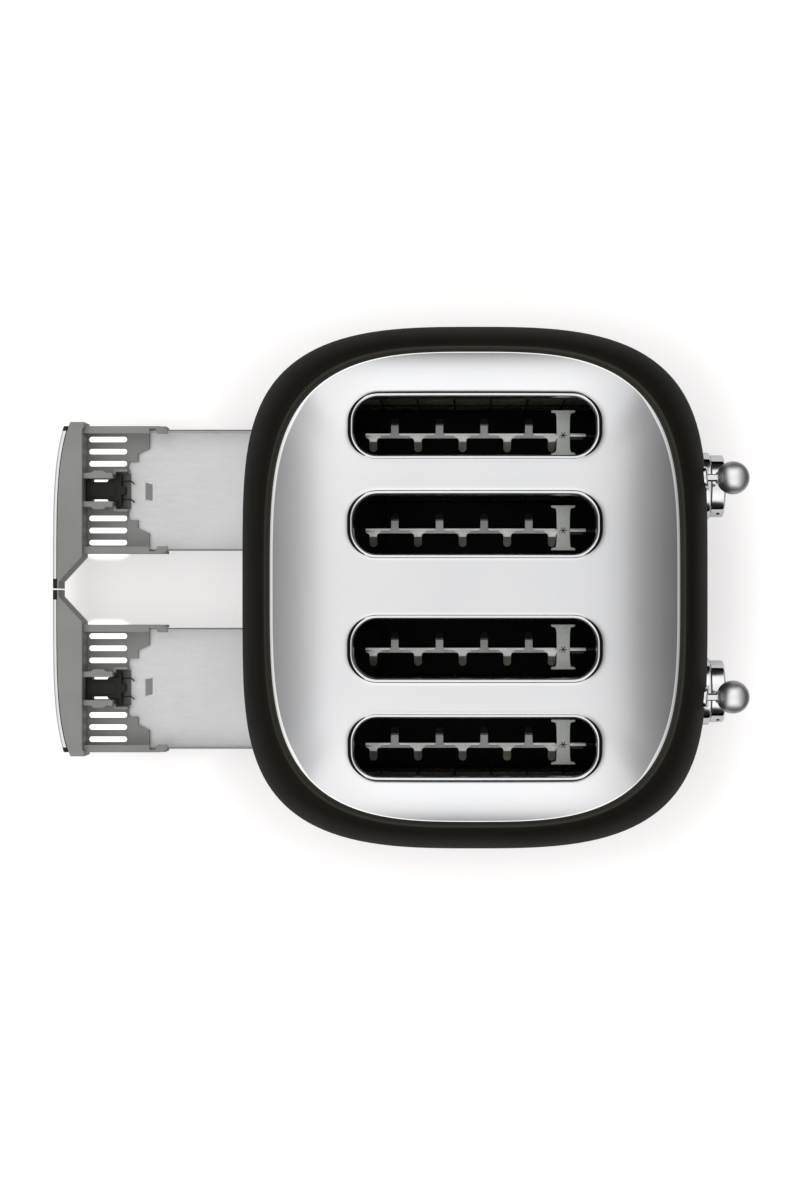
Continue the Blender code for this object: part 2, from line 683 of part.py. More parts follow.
def make_feet(rubber):
    for end_name, end in (("front", 1), ("rear", -1)):
        for name, side in SIDES:
            turned("foot_%s_%s" % (end_name, name),
                   [(0, FOOT_HEIGHT), (FOOT_RADIUS, FOOT_HEIGHT), (FOOT_RADIUS, FOOT_TAPER),
                    (FOOT_RADIUS - FOOT_TAPER, 0), (0, 0)],
                   (end * (BAND_HALF_LENGTH - FOOT_END_MARGIN),
                    side * (BAND_HALF_WIDTH - FOOT_SIDE_MARGIN), 0), (0, 0, 0), rubber)


def guide_places():
    """(name, side, centre, sign) of the eight guides: a is on the -Y side of its slot, b on the +Y side."""
    for name, side in SIDES:
        for number, centre in enumerate(SLOT_CENTRES):
            for letter, sign in (("a", -1), ("b", 1)):
                yield "%s_%d_%s" % (name, number + 1, letter), side, side * centre, sign


def guide_tab_holes():
    """Slots that the guides' end tabs slide in, as (across, up) outlines."""
    near = GUIDE_REST - GUIDE_TRAVEL - GUIDE_THICKNESS / 2 - RUN_GAP
    far = GUIDE_REST + GUIDE_THICKNESS / 2 + RUN_GAP
    half = GUIDE_TAB_HEIGHT / 2 + FIT_GAP
    holes = []
    for name, side, centre, sign in guide_places():
        ends = sorted((centre + sign * near, centre + sign * far))
        for height in (GUIDE_TAB_LOW, GUIDE_TAB_HIGH):
            holes.append(rectangle(ends[0], height - half, ends[1], height + half))
    return holes


def rack_y(side, centre):
    return side * centre + RACK_OFFSET


def make_front_plate(steel):
    """Upright plate with the racks' lift slots, and a lug over each lift spring."""
    edge = rectangle(-PLATE_HALF_WIDTH, FLOOR_TOP + FIT_GAP, PLATE_HALF_WIDTH, PLATE_TOP)
    holes = guide_tab_holes()
    half = RACK_THICKNESS / 2 + RUN_GAP
    low = RACK_HEIGHT - LIFT_TRAVEL - RACK_WEB_HEIGHT / 2 - RUN_GAP
    high = RACK_HEIGHT + RACK_WEB_HEIGHT / 2 + RUN_GAP
    for name, side in SIDES:
        for centre in SLOT_CENTRES:
            middle = rack_y(side, centre)
            holes.append(rectangle(middle - half, low, middle + half, high))
    plate = flat_piece("front_frame_plate", [edge] + holes, PLATE_THICKNESS,
                       (PLATE_X + PLATE_THICKNESS / 2, 0, 0), facing_front(), steel)
    top = PLATE_TOP - LUG_DROP
    for name, side in SIDES:
        lug = box("spring_lug_" + name,
                  (PLATE_X + PLATE_THICKNESS / 2, side * LEVER_Y - LUG_HALF_WIDTH, top - LUG_THICKNESS),
                  (LUG_REACH, side * LEVER_Y + LUG_HALF_WIDTH, top))
        combine(plate, lug, "UNION")
    return plate


def make_rear_plate(steel):
    """Upright plate that straddles the two trays."""
    low = FLOOR_TOP + FIT_GAP
    inner = TRAY_Y - RAIL_HALF_SPAN - RUN_GAP
    outer = TRAY_Y + RAIL_HALF_SPAN + RUN_GAP
    edge = [(-PLATE_HALF_WIDTH, low), (-outer, low), (-outer, TRAY_NOTCH_TOP), (-inner, TRAY_NOTCH_TOP),
            (-inner, low), (inner, low), (inner, TRAY_NOTCH_TOP), (outer, TRAY_NOTCH_TOP), (outer, low),
            (PLATE_HALF_WIDTH, low), (PLATE_HALF_WIDTH, PLATE_TOP), (-PLATE_HALF_WIDTH, PLATE_TOP)]
    return flat_piece("rear_frame_plate", [edge] + guide_tab_holes(), PLATE_THICKNESS,
                      (-PLATE_X - PLATE_THICKNESS / 2, 0, 0), facing_front(), steel)


def make_heaters(mica):
    """Three upright panels in each half, between the slots and outside them."""
    for name, side in SIDES:
        for number in range(3):
            y = side * (SLOT_INNER_Y + HEATER_SPACING * (2 * number - 1))
            box("heater_panel_%s_%d" % (name, number + 1),
                (-PLATE_X + FIT_GAP, y - HEATER_THICKNESS / 2, HEATER_LOW),
                (PLATE_X - FIT_GAP, y + HEATER_THICKNESS / 2, HEATER_HIGH), mica)


def make_guides(wire):
    """Flat grids, two to a slot, with tabs at both ends that slide in the plates."""
    opening = (2 * GUIDE_HALF_LENGTH - (GUIDE_WINDOWS + 1) * GUIDE_WIRE) / GUIDE_WINDOWS
    half_tab = GUIDE_TAB_HEIGHT / 2
    edge = [(-GUIDE_HALF_LENGTH, GUIDE_LOW), (GUIDE_HALF_LENGTH, GUIDE_LOW)]
    for height in (GUIDE_TAB_LOW, GUIDE_TAB_HIGH):
        edge += [(GUIDE_HALF_LENGTH, height - half_tab), (GUIDE_TAB_REACH, height - half_tab),
                 (GUIDE_TAB_REACH, height + half_tab), (GUIDE_HALF_LENGTH, height + half_tab)]
    edge += [(GUIDE_HALF_LENGTH, GUIDE_HIGH), (-GUIDE_HALF_LENGTH, GUIDE_HIGH)]
    for height in (GUIDE_TAB_HIGH, GUIDE_TAB_LOW):
        edge += [(-GUIDE_HALF_LENGTH, height + half_tab), (-GUIDE_TAB_REACH, height + half_tab),
                 (-GUIDE_TAB_REACH, height - half_tab), (-GUIDE_HALF_LENGTH, height - half_tab)]
    windows = []
    for number in range(GUIDE_WINDOWS):
        low_x = -GUIDE_HALF_LENGTH + GUIDE_WIRE + number * (opening + GUIDE_WIRE)
        windows.append(rectangle(low_x, GUIDE_LOW + GUIDE_RAIL, low_x + opening, GUIDE_HIGH - GUIDE_RAIL))
    for name, side, centre, sign in guide_places():
        flat_piece("guide_" + name, [edge] + windows, GUIDE_THICKNESS,
                   (0, centre + sign * GUIDE_REST, 0), (math.pi / 2, 0, 0), wire)


def rack_outline():
    """Plan of a rack's top sheet: a web with short teeth to +Y and long teeth to -Y."""
    half_web = RACK_THICKNESS / 2
    half_tooth = TOOTH_WIDTH / 2
    far = PLATE_X - FIT_GAP
    points = [(RACK_START, -half_web)]
    for number in range(LONG_TEETH):
        x = TOOTH_LONG_FIRST + number * TOOTH_PITCH
        points += [(x - half_tooth, -half_web), (x - half_tooth, -TOOTH_LONG_REACH),
                   (x + half_tooth, -TOOTH_LONG_REACH), (x + half_tooth, -half_web)]
    points += [(far, -half_web), (far, half_web)]
    for number in reversed(range(SHORT_TEETH)):
        x = TOOTH_SHORT_FIRST + number * TOOTH_PITCH
        points += [(x + half_tooth, half_web), (x + half_tooth, TOOTH_SHORT_REACH),
                   (x - half_tooth, TOOTH_SHORT_REACH), (x - half_tooth, half_web)]
    points.append((RACK_START, half_web))
    return points


def strap_outline():
    """Plan of the cross strap with a wider foot at each end, about the slot's centre line."""
    half = STRAP_WIDTH / 2
    foot = STRAP_END_WIDTH / 2
    waist = STRAP_HALF_SPAN - STRAP_END_DEPTH
    return [(-foot, -STRAP_HALF_SPAN), (foot, -STRAP_HALF_SPAN), (foot, -waist), (half, -waist),
            (half, waist), (foot, waist), (foot, STRAP_HALF_SPAN), (-foot, STRAP_HALF_SPAN),
            (-foot, waist), (-half, waist), (-half, -waist), (-foot, -waist)]


def make_racks(steel):
    """Bread racks: a toothed top sheet on an upright web, with a cross strap near the front."""
    top = RACK_HEIGHT + RACK_WEB_HEIGHT / 2
    for name, side in SIDES:
        for number, centre in enumerate(SLOT_CENTRES):
            y = rack_y(side, centre)
            rack = flat_piece("bread_rack_%s_%d" % (name, number + 1), [rack_outline()], RACK_SHEET,
                              (0, y, top - RACK_SHEET / 2), (0, 0, 0), steel)
            web = box("rack_web_%s_%d" % (name, number),
                      (RACK_START + RACK_SHEET, y - RACK_WEB_THICKNESS / 2, top - RACK_WEB_HEIGHT),
                      (CARRIAGE_X - FIT_GAP, y + RACK_WEB_THICKNESS / 2, top - RACK_SHEET / 2))
            strap = flat_piece("rack_strap_%s_%d" % (name, number), [strap_outline()], RACK_SHEET,
                               (STRAP_X, side * centre, top - RACK_SHEET / 2 - RACK_SHEET / 4))
            combine(rack, web, "UNION")
            combine(rack, strap, "UNION")


def make_carriages(steel):
    """Lift carriage: a cross plate that carries two racks, the lever's stem and the spring's lug."""
    front = CARRIAGE_X + CARRIAGE_THICKNESS
    top = LEVER_HEIGHT + CARRIAGE_HALF_HEIGHT
    for name, side in SIDES:
        racks = sorted(rack_y(side, centre) for centre in SLOT_CENTRES)
        plate = box("lift_carriage_" + name,
                    (CARRIAGE_X, racks[0] - CARRIAGE_OVERHANG, LEVER_HEIGHT - CARRIAGE_HALF_HEIGHT),
                    (front, racks[1] + CARRIAGE_OVERHANG, top), steel)
        stem = box("lever_stem_" + name,
                   (CARRIAGE_X + CARRIAGE_THICKNESS / 2, side * LEVER_Y - STEM_THICKNESS / 2,
                    LEVER_HEIGHT - STEM_HEIGHT / 2),
                   (STEM_END, side * LEVER_Y + STEM_THICKNESS / 2, LEVER_HEIGHT + STEM_HEIGHT / 2))
        lug = box("carriage_lug_" + name,
                  (CARRIAGE_X + CARRIAGE_THICKNESS / 2, side * LEVER_Y - LUG_HALF_WIDTH,
                   top - LUG_THICKNESS),
                  (LUG_REACH, side * LEVER_Y + LUG_HALF_WIDTH, top))
        combine(plate, stem, "UNION")
        combine(plate, lug, "UNION")


def make_lever_knobs(chrome):
    """Ball knob on a short neck, one body turned about the lever's own line."""
    join = math.asin(NECK_RADIUS / BALL_RADIUS)
    steps = ROUND_STEPS // 2
    for name, side in SIDES:
        profile = [(0, BALL_RADIUS)]
        for step in range(1, steps + 1):
            angle = (math.pi - join) * step / steps
            profile.append((BALL_RADIUS * math.sin(angle), BALL_RADIUS * math.cos(angle)))
        profile += [(NECK_RADIUS, NECK_START - BALL_X), (0, NECK_START - BALL_X)]
        turned("lever_knob_" + name, profile, (BALL_X, side * LEVER_Y, LEVER_HEIGHT),
               (0, math.pi / 2, 0), chrome)


def make_springs(steel):
    """Lift spring between the plate's lug and the carriage's lug, as its outer cylinder."""
    low = LEVER_HEIGHT + CARRIAGE_HALF_HEIGHT + FIT_GAP
    high = PLATE_TOP - LUG_DROP - LUG_THICKNESS - FIT_GAP
    for name, side in SIDES:
        turned("lift_spring_" + name,
               [(0, high - low), (SPRING_RADIUS, high - low), (SPRING_RADIUS, 0), (0, 0)],
               (SPRING_X, side * LEVER_Y, low), (0, 0, 0), steel, ROUND_STEPS // 2)


def make_magnets(steel):
    """Holding magnet under each carriage, on the front plate."""
    high = LEVER_HEIGHT - CARRIAGE_HALF_HEIGHT - LIFT_TRAVEL - FIT_GAP
    back = PLATE_X + PLATE_THICKNESS + FIT_GAP
    for name, side in SIDES:
        box("holding_magnet_" + name,
            (back, side * LEVER_Y - MAGNET_HALF_WIDTH, high - MAGNET_HEIGHT),
            (back + MAGNET_DEPTH, side * LEVER_Y + MAGNET_HALF_WIDTH, high), steel)


def make_lever_frames(chrome):
    """Bright frame round each lever slot, bent to the body's front."""
    low, high = lever_slot_ends()
    bottom = low - LEVER_FRAME_END
    top = high + LEVER_FRAME_END
    half = LEVER_SLOT_WIDTH / 2 + LEVER_FRAME_SIDE
    heights = [bottom - OVERRUN / 2] + [row[2] for row in body_rows() if bottom < row[2] < top]
    heights.append(top + OVERRUN / 2)
    for name, side in SIDES:
        columns = [side * LEVER_Y + offset for offset in (-half - OVERRUN, 0, half + OVERRUN)]
        shape = bmesh.new()
        rows = [[shape.verts.new((front_surface(y, z) + FIT_GAP, y, z)) for y in columns]
                for z in heights]
        for lower, upper in zip(rows, rows[1:]):
            for index in range(len(columns) - 1):
                shape.faces.new((lower[index], lower[index + 1], upper[index + 1], upper[index]))
        mesh = bpy.data.meshes.new("lever_frame_" + name)
        shape.to_mesh(mesh)
        shape.free()
        frame = add_object("lever_frame_" + name, mesh, chrome)
        wall = frame.modifiers.new("wall", "SOLIDIFY")
        wall.thickness = LEVER_FRAME_THICKNESS
        wall.offset = 1
        outer = rounded_outline(2 * half, top - bottom, half)
        inner = rounded_outline(LEVER_SLOT_WIDTH, high - low, LEVER_SLOT_WIDTH / 2)
        reach = BODY_LENGTH / 2 + OVERRUN
        back = BODY_LENGTH / 2 - CREST_INSET
        mask = flat_piece("lever_frame_mask_" + name, [outer, inner], reach - back,
                          ((reach + back) / 2, side * LEVER_Y, (bottom + top) / 2), facing_front())
        combine(frame, mask, "INTERSECT")


def body_clearance():
    """The painted body grown by the fitting gap, to shape what seats against its front."""
    rings = [body_ring(inset - FIT_GAP, exponent, height) for inset, exponent, height in body_rows()]
    return loft("body_clearance", rings)


def make_controls(chrome, steel):
    """Bezel, push shaft and round knob on each half of the front."""
    clearance = body_clearance()
    for name, side in SIDES:
        y = side * LEVER_Y
        bezel = cylinder("control_bezel_" + name, BEZEL_RADIUS, BEZEL_BACK, BEZEL_FRONT, y,
                         CONTROL_HEIGHT, chrome, 2 * ROUND_STEPS)
        combine(bezel, clearance)
        combine(bezel, cylinder("bezel_cup_" + name, BEZEL_RADIUS - BEZEL_RING, BEZEL_FLOOR,
                                BEZEL_FRONT + OVERRUN, y, CONTROL_HEIGHT, None, 2 * ROUND_STEPS))
        combine(bezel, cylinder("bezel_bore_" + name, SHAFT_RADIUS + FIT_GAP, BEZEL_BACK - OVERRUN,
                                BEZEL_FRONT + OVERRUN, y, CONTROL_HEIGHT))
        shaft_start = BOARD_X + BOARD_THICKNESS + PRESS_TRAVEL + FIT_GAP
        shaft_end = KNOB_BACK + KNOB_BORE_DEPTH - FIT_GAP
        cylinder("control_shaft_" + name, SHAFT_RADIUS, shaft_start, shaft_end, y, CONTROL_HEIGHT, steel)
        bore = SHAFT_RADIUS + FIT_GAP
        depth = KNOB_DEPTH
        turned("browning_knob_" + name,
               [(0, depth), (KNOB_RADIUS - KNOB_EDGE, depth), (KNOB_RADIUS, depth - KNOB_EDGE),
                (KNOB_RADIUS, 0), (bore, 0), (bore, KNOB_BORE_DEPTH), (0, KNOB_BORE_DEPTH)],
               (KNOB_BACK, y, CONTROL_HEIGHT), (0, math.pi / 2, 0), chrome, 2 * ROUND_STEPS)


def make_buttons(chrome):
    """Three function buttons beside each knob, each in its own hole in the body."""
    start = BOARD_X + BOARD_THICKNESS + PRESS_TRAVEL + FIT_GAP
    for name, side in SIDES:
        for number, (y, z) in enumerate(button_places(side)):
            cylinder("function_button_%s_%d" % (name, number + 1), BUTTON_RADIUS, start,
                     front_surface(y, z) + BUTTON_PROUD, y, z, chrome)


def make_board(green):
    """Control board on four posts that stand off the front plate."""
    board = box("control_board", (BOARD_X, -BOARD_HALF_WIDTH, BOARD_LOW),
                (BOARD_X + BOARD_THICKNESS, BOARD_HALF_WIDTH, BOARD_HIGH), green)
    for name, side in SIDES:
        for place, z in (("low", BOARD_LOW + POST_INSET), ("high", BOARD_HIGH - POST_INSET)):
            post = cylinder("board_post_%s_%s" % (name, place), POST_RADIUS,
                            PLATE_X + PLATE_THICKNESS + FIT_GAP, BOARD_X + BOARD_THICKNESS / 2,
                            side * (BOARD_HALF_WIDTH - POST_INSET), z, None, ROUND_STEPS // 2)
            combine(board, post, "UNION")
    return board


def block_back():
    """X of the back of an opened tray's block, a named depth behind the outer end of its curve."""
    end = superellipse_x(BAND_HALF_LENGTH - BASE_INSET, BAND_HALF_WIDTH - BASE_INSET, BASE_EXPONENT,
                         TRAY_FRONT_HALF)
    return BLOCK_END_DEPTH - TRAY_OPEN - end


def tray_x(distance):
    """X of a place on an opened tray, from its distance behind the block's back."""
    return block_back() + distance


def tray_front_curve(inset, start, end, places=FRONT_CURVE_POINTS):
    """Points along the tray's curved front, at an inset behind the bright strip's face."""
    points = []
    for number in range(places):
        y = start + (end - start) * number / (places - 1)
        drop = superellipse_x(BAND_HALF_LENGTH - inset, BAND_HALF_WIDTH - inset, BASE_EXPONENT, y)
        points.append((-TRAY_OPEN - drop, y))
    return points


def mirrored(points, side):
    return [(x, side * y) for x, y in points]


def make_tray_frame(name, side, plastic):
    """Moulded tray front: curved block, slotted plate with a stepped edge, side rails and a cage."""
    inner = TRAY_SPLIT / 2
    outline = tray_front_curve(BASE_INSET, TRAY_FRONT_HALF, inner)
    nose = BLOCK_NOSE_REACH - TRAY_REACH
    outline += [(nose, inner), (nose, BLOCK_NOSE_END),
                (block_back(), BLOCK_CHAMFER_END), (block_back(), TRAY_FRONT_HALF)]
    frame = flat_piece("tray_frame_" + name, [mirrored(outline, side)], BLOCK_TOP - TRAY_LOW,
                       (0, 0, (BLOCK_TOP + TRAY_LOW) / 2), (0, 0, 0), plastic)
    wide = RAIL_HALF_SPAN - RAIL_THICKNESS / 2
    narrow = PAN_HALF_WIDTH - PAN_SHEET - FIT_GAP
    shoulder = PAN_INSET - FIT_GAP
    step_outer = narrow - STEP_OUTER_INSET
    step_middle = step_outer - STEP_MIDDLE_INSET
    step_inner = step_middle - STEP_INNER_INSET
    edge = [(-RAIL_THICKNESS, wide), (shoulder, wide), (shoulder, narrow), (TRAY_PLATE_LENGTH, narrow),
            (TRAY_PLATE_LENGTH, step_outer), (STEP_LENGTH, step_middle), (STEP_LENGTH, step_inner),
            (NOTCH_LENGTH, step_inner)]
    plan = [(tray_x(along), side * TRAY_Y + half) for along, half in edge]
    plan += [(tray_x(along), side * TRAY_Y - half) for along, half in reversed(edge)]
    vents = []
    vents_a_side = math.floor((narrow - VENT_WIDTH - VENT_FIRST) / VENT_PITCH) + 1
    for flank in (1, -1):
        for number in range(vents_a_side):
            middle_y = side * TRAY_Y + flank * (VENT_FIRST + number * VENT_PITCH)
            middle_x = tray_x(VENT_INSET + VENT_LENGTH / 2)
            vents.append([(middle_x + x, middle_y + y)
                          for x, y in rounded_outline(VENT_LENGTH, VENT_WIDTH, VENT_WIDTH / 2, 2)])
    plate = flat_piece("tray_plate_" + name, [plan] + vents, TRAY_PLATE_SHEET,
                       (0, 0, TRAY_PLATE_LOW + TRAY_PLATE_SHEET / 2))
    combine(frame, plate, "UNION")
    lip_low = RAIL_TOP - RAIL_LIP_THICKNESS
    start = tray_x(-RAIL_THICKNESS)
    cage_end = tray_x(LATCH_LENGTH - LATCH_FLANGE_LENGTH - FIT_GAP)
    for flank_name, flank in (("up", 1), ("down", -1)):
        outer = side * TRAY_Y + flank * RAIL_HALF_SPAN
        inner_face = outer - flank * RAIL_THICKNESS
        lip = outer - flank * RAIL_LIP
        rail = box("tray_rail_%s_%s" % (name, flank_name),
                   (start, min(outer, inner_face), TRAY_LOW),
                   (tray_x(RAIL_LENGTH), max(outer, inner_face), RAIL_TOP))
        ledge = box("tray_rail_lip_%s_%s" % (name, flank_name),
                    (start, min(outer, lip), lip_low),
                    (tray_x(RAIL_LENGTH), max(outer, lip), RAIL_TOP))
        cage_near = side * TRAY_Y + flank * CAGE_INNER
        cage_far = cage_near + flank * CAGE_THICKNESS
        cage = box("tray_cage_%s_%s" % (name, flank_name),
                   (start, min(cage_near, cage_far), TRAY_PLATE_LOW + TRAY_PLATE_SHEET / 2),
                   (cage_end, max(cage_near, cage_far), CAGE_TOP))
        for piece in (rail, ledge, cage):
            combine(frame, piece, "UNION")


def make_tray_pan(name, side, steel):
    """Sheet pan with upright sides, open towards the frame, with a window near its outer end."""
    y = side * TRAY_Y
    top = TRAY_LOW + PAN_HEIGHT
    low_x = tray_x(PAN_INSET)
    high_x = PAN_END - TRAY_REACH
    pan = box("tray_pan_" + name, (low_x, y - PAN_HALF_WIDTH, TRAY_LOW),
              (high_x, y + PAN_HALF_WIDTH, top), steel)
    inner = PAN_HALF_WIDTH - PAN_SHEET
    combine(pan, box("pan_hollow_" + name, (low_x - OVERRUN, y - inner, TRAY_LOW + PAN_SHEET),
                     (high_x - PAN_SHEET, y + inner, top + OVERRUN)))
    window = low_x + WINDOW_INSET
    combine(pan, box("pan_window_" + name, (window, y - WINDOW_HALF_WIDTH, TRAY_LOW - OVERRUN),
                     (window + WINDOW_LENGTH, y + WINDOW_HALF_WIDTH, TRAY_LOW + OVERRUN)))


def make_tray_latch(name, side, plastic):
    """Black catch in its cage, with a nose and two thin hooks over the pan."""
    low = TRAY_PLATE_TOP + FIT_GAP
    y = side * TRAY_Y
    end = tray_x(LATCH_LENGTH)
    root = end - LATCH_FLANGE_LENGTH
    latch = box("tray_latch_" + name, (tray_x(FIT_GAP), y - LATCH_HALF_WIDTH, low),
                (end, y + LATCH_HALF_WIDTH, LATCH_TOP), plastic)
    flange = box("latch_flange_" + name, (root, y - LATCH_FLANGE_HALF, low),
                 (end, y + LATCH_FLANGE_HALF, LATCH_TOP - HOOK_HEIGHT))
    nose = box("latch_nose_" + name, (root, y - LATCH_NOSE_HALF, low),
               (end + LATCH_NOSE_LENGTH, y + LATCH_NOSE_HALF, LATCH_TOP - HOOK_HEIGHT))
    combine(latch, flange, "UNION")
    combine(latch, nose, "UNION")
    for flank_name, flank in (("up", 1), ("down", -1)):
        middle = y + flank * HOOK_Y
        hook = box("latch_hook_%s_%s" % (name, flank_name),
                   (root, middle - HOOK_THICKNESS / 2, low),
                   (end + HOOK_LENGTH, middle + HOOK_THICKNESS / 2, low + HOOK_HEIGHT))
        combine(latch, hook, "UNION")


def make_tray_strip(name, side, chrome):
    """Bright strip on the tray's curved front, in line with the band round the base."""
    inner = TRAY_SPLIT / 2
    front = tray_front_curve(0, TRAY_FRONT_HALF, inner)
    back = tray_front_curve(BAND_THICKNESS, inner, TRAY_FRONT_HALF)
    flat_piece("tray_strip_" + name, [mirrored(front + back, side)], BAND_HIGH - BAND_LOW,
               (0, 0, (BAND_HIGH + BAND_LOW) / 2), (0, 0, 0), chrome)


def make_cord_gland(rubber):
    """Gland through the back of the body, with its flange inside."""
    back = superellipse_x(BODY_LENGTH / 2, BODY_WIDTH / 2, BODY_EXPONENT, 0) + GLAND_PROUD
    flange = GLAND_LENGTH - GLAND_FLANGE_THICKNESS - GLAND_PROUD
    bore = GLAND_RADIUS - GLAND_WALL
    turned("cord_gland",
           [(bore, GLAND_LENGTH), (GLAND_RADIUS, GLAND_LENGTH),
            (GLAND_RADIUS, GLAND_LENGTH - flange / 2), (GLAND_RADIUS, GLAND_FLANGE_THICKNESS),
            (GLAND_RADIUS + GLAND_FLANGE_LIP, GLAND_FLANGE_THICKNESS),
            (GLAND_RADIUS + GLAND_FLANGE_LIP, 0), (bore, 0)],
           (-back + GLAND_LENGTH, 0, GLAND_HEIGHT), (0, -math.pi / 2, 0), rubber)


def main():
    paint = material("black_enamel", (0.013, 0.012, 0.010), 0.18, 0.0)
    steel = material("polished_steel", (0.62, 0.61, 0.60), 0.12, 1.0)
    chrome = material("bright_chrome", (0.70, 0.70, 0.71), 0.06, 1.0)
    plain_steel = material("plain_steel", (0.45, 0.45, 0.44), 0.38, 1.0)
    pan_steel = material("pan_steel", (0.60, 0.60, 0.60), 0.42, 1.0)
    grey_plastic = material("grey_plastic", (0.27, 0.27, 0.26), 0.50, 0.0)
    black_plastic = material("black_plastic", (0.015, 0.015, 0.015), 0.45, 0.0)
    rubber = material("black_rubber", (0.020, 0.020, 0.020), 0.75, 0.0)
    mica = material("mica_sheet", (0.20, 0.17, 0.12), 0.60, 0.0)
    green = material("circuit_board", (0.03, 0.10, 0.05), 0.50, 0.0)

    make_outer_shell(paint)
    make_top_cover(steel)
    make_base_pan(black_plastic)
    make_base_trim(chrome)
    make_feet(rubber)
    make_front_plate(plain_steel)
    make_rear_plate(plain_steel)
    make_heaters(mica)
    make_guides(plain_steel)
    make_racks(plain_steel)
    make_carriages(plain_steel)
    make_lever_knobs(chrome)
    make_springs(plain_steel)
    make_magnets(plain_steel)
    make_lever_frames(chrome)
    make_controls(chrome, plain_steel)
    make_buttons(chrome)
    make_board(green)
    for name, side in SIDES:
        make_tray_frame(name, side, grey_plastic)
        make_tray_pan(name, side, pan_steel)
        make_tray_latch(name, side, black_plastic)
        make_tray_strip(name, side, chrome)
    make_cord_gland(rubber)


main()
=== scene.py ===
"""A four-slot toaster with its crumb trays pulled out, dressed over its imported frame.

Metres, +Z up. The controls face +X and the trays slide out to -X. Places are given from the
body's middle, which mesh_of() adds, and long profiles in millimetres, which mm() turns to metres.
"""
import math

import bmesh
import bpy
import numpy as np
from mathutils.geometry import delaunay_2d_cdt
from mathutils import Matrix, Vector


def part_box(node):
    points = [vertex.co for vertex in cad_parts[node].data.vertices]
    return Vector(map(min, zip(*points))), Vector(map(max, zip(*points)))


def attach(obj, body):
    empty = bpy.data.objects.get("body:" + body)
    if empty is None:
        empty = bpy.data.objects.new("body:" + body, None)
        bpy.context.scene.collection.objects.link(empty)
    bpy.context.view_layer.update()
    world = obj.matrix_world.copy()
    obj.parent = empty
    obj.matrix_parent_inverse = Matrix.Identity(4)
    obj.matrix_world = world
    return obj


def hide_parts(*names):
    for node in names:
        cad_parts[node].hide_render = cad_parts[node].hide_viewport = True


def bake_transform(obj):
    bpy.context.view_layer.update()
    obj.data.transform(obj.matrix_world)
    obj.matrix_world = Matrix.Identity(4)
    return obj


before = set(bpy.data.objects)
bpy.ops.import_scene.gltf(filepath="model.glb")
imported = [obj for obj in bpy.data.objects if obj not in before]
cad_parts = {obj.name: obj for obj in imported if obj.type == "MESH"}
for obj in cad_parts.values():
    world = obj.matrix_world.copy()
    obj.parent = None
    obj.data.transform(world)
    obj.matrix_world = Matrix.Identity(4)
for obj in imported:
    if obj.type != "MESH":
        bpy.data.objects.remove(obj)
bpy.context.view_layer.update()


# The studio: a pale table under an even soft light that falls off towards the horizon, and a
# camera 1.45 m up that looks straight down on the body's middle.
MIDDLE = (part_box("outer_shell")[0].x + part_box("outer_shell")[1].x) / 2
CAMERA_HEIGHT = 1.45
CAMERA_Y = -0.012
HALF_TABLE = 4.5
PAPER = (0.93, 0.92, 0.915)
GLOW = (1, 0.985, 0.98)
GLOW_STRENGTH = 1.85


def rgba(colour):
    """The four numbers of a colour that is given as one grey or as three shares."""
    return (*colour, 1) if isinstance(colour, tuple) else (colour, colour, colour, 1)


class Signal:
    """A socket in a shader tree. Sums with it add Math nodes, and node() adds any other node."""

    def __init__(self, tree, socket):
        self.tree = tree
        self.socket = socket

    def node(self, kind, settings=None, inputs=None, output=0):
        """Adds a node: its settings first, then the values or links of its sockets."""
        made = self.tree.nodes.new("ShaderNode" + kind)
        for key, value in (settings or {}).items():
            if key == "stops":
                for _ in range(len(value) - 2):
                    made.color_ramp.elements.new(0.5)
                for element, (place, level) in zip(made.color_ramp.elements, value):
                    element.position = place
                    element.color = rgba(level)
            else:
                setattr(made, key, value)
        for key, value in (inputs or {}).items():
            socket = made.inputs[key]
            if isinstance(value, Signal):
                self.tree.links.new(value.socket, socket)
            else:
                socket.default_value = rgba(value) if socket.type == "RGBA" else value
        return Signal(self.tree, made.outputs[output])

    def sum(self, operation, *values):
        """A Math node on these values."""
        return self.node("Math", {"operation": operation}, dict(enumerate(values)))

    def __add__(self, other):
        return self.sum("ADD", self, other)

    def __sub__(self, other):
        return self.sum("SUBTRACT", self, other)

    def __rsub__(self, other):
        return self.sum("SUBTRACT", other, self)

    def __mul__(self, other):
        return self.sum("MULTIPLY", self, other)

    __radd__ = __add__
    __rmul__ = __mul__

    def axis(self, number):
        """One coordinate of a vector."""
        return self.node("SeparateXYZ", {}, {0: self}, number)

    def size(self):
        """The value without its sign."""
        return self.sum("ABSOLUTE", self)

    def between(self, low, high, start=0.0, end=1.0):
        """A smooth step from start, where the value is low, to end, where it is high."""
        return self.node("MapRange", {"interpolation_type": "SMOOTHSTEP"},
                         {"Value": self, "From Min": low, "From Max": high, "To Min": start, "To Max": end})

    def tint(self, first, second):
        """A colour between two, with this value as the share of the second."""
        return self.node("Mix", {"data_type": "RGBA"}, {0: self, 6: first, 7: second}, 2)

    def grain(self, scale, detail=2.0, stretch=(1, 1, 1)):
        """Noise over a place, at so many cells a metre, drawn out along an axis by stretch below 1."""
        drawn = self.node("Mapping", {}, {"Vector": self, "Scale": stretch})
        return self.node("TexNoise", {}, {"Vector": drawn, "Scale": scale, "Detail": detail})


studio = bpy.data.worlds.new("studio")
studio.use_nodes = True
bpy.context.scene.world = studio
sky = Signal(studio.node_tree, studio.node_tree.nodes.new("ShaderNodeTexCoord").outputs["Generated"])
seen = sky.node("LightPath")
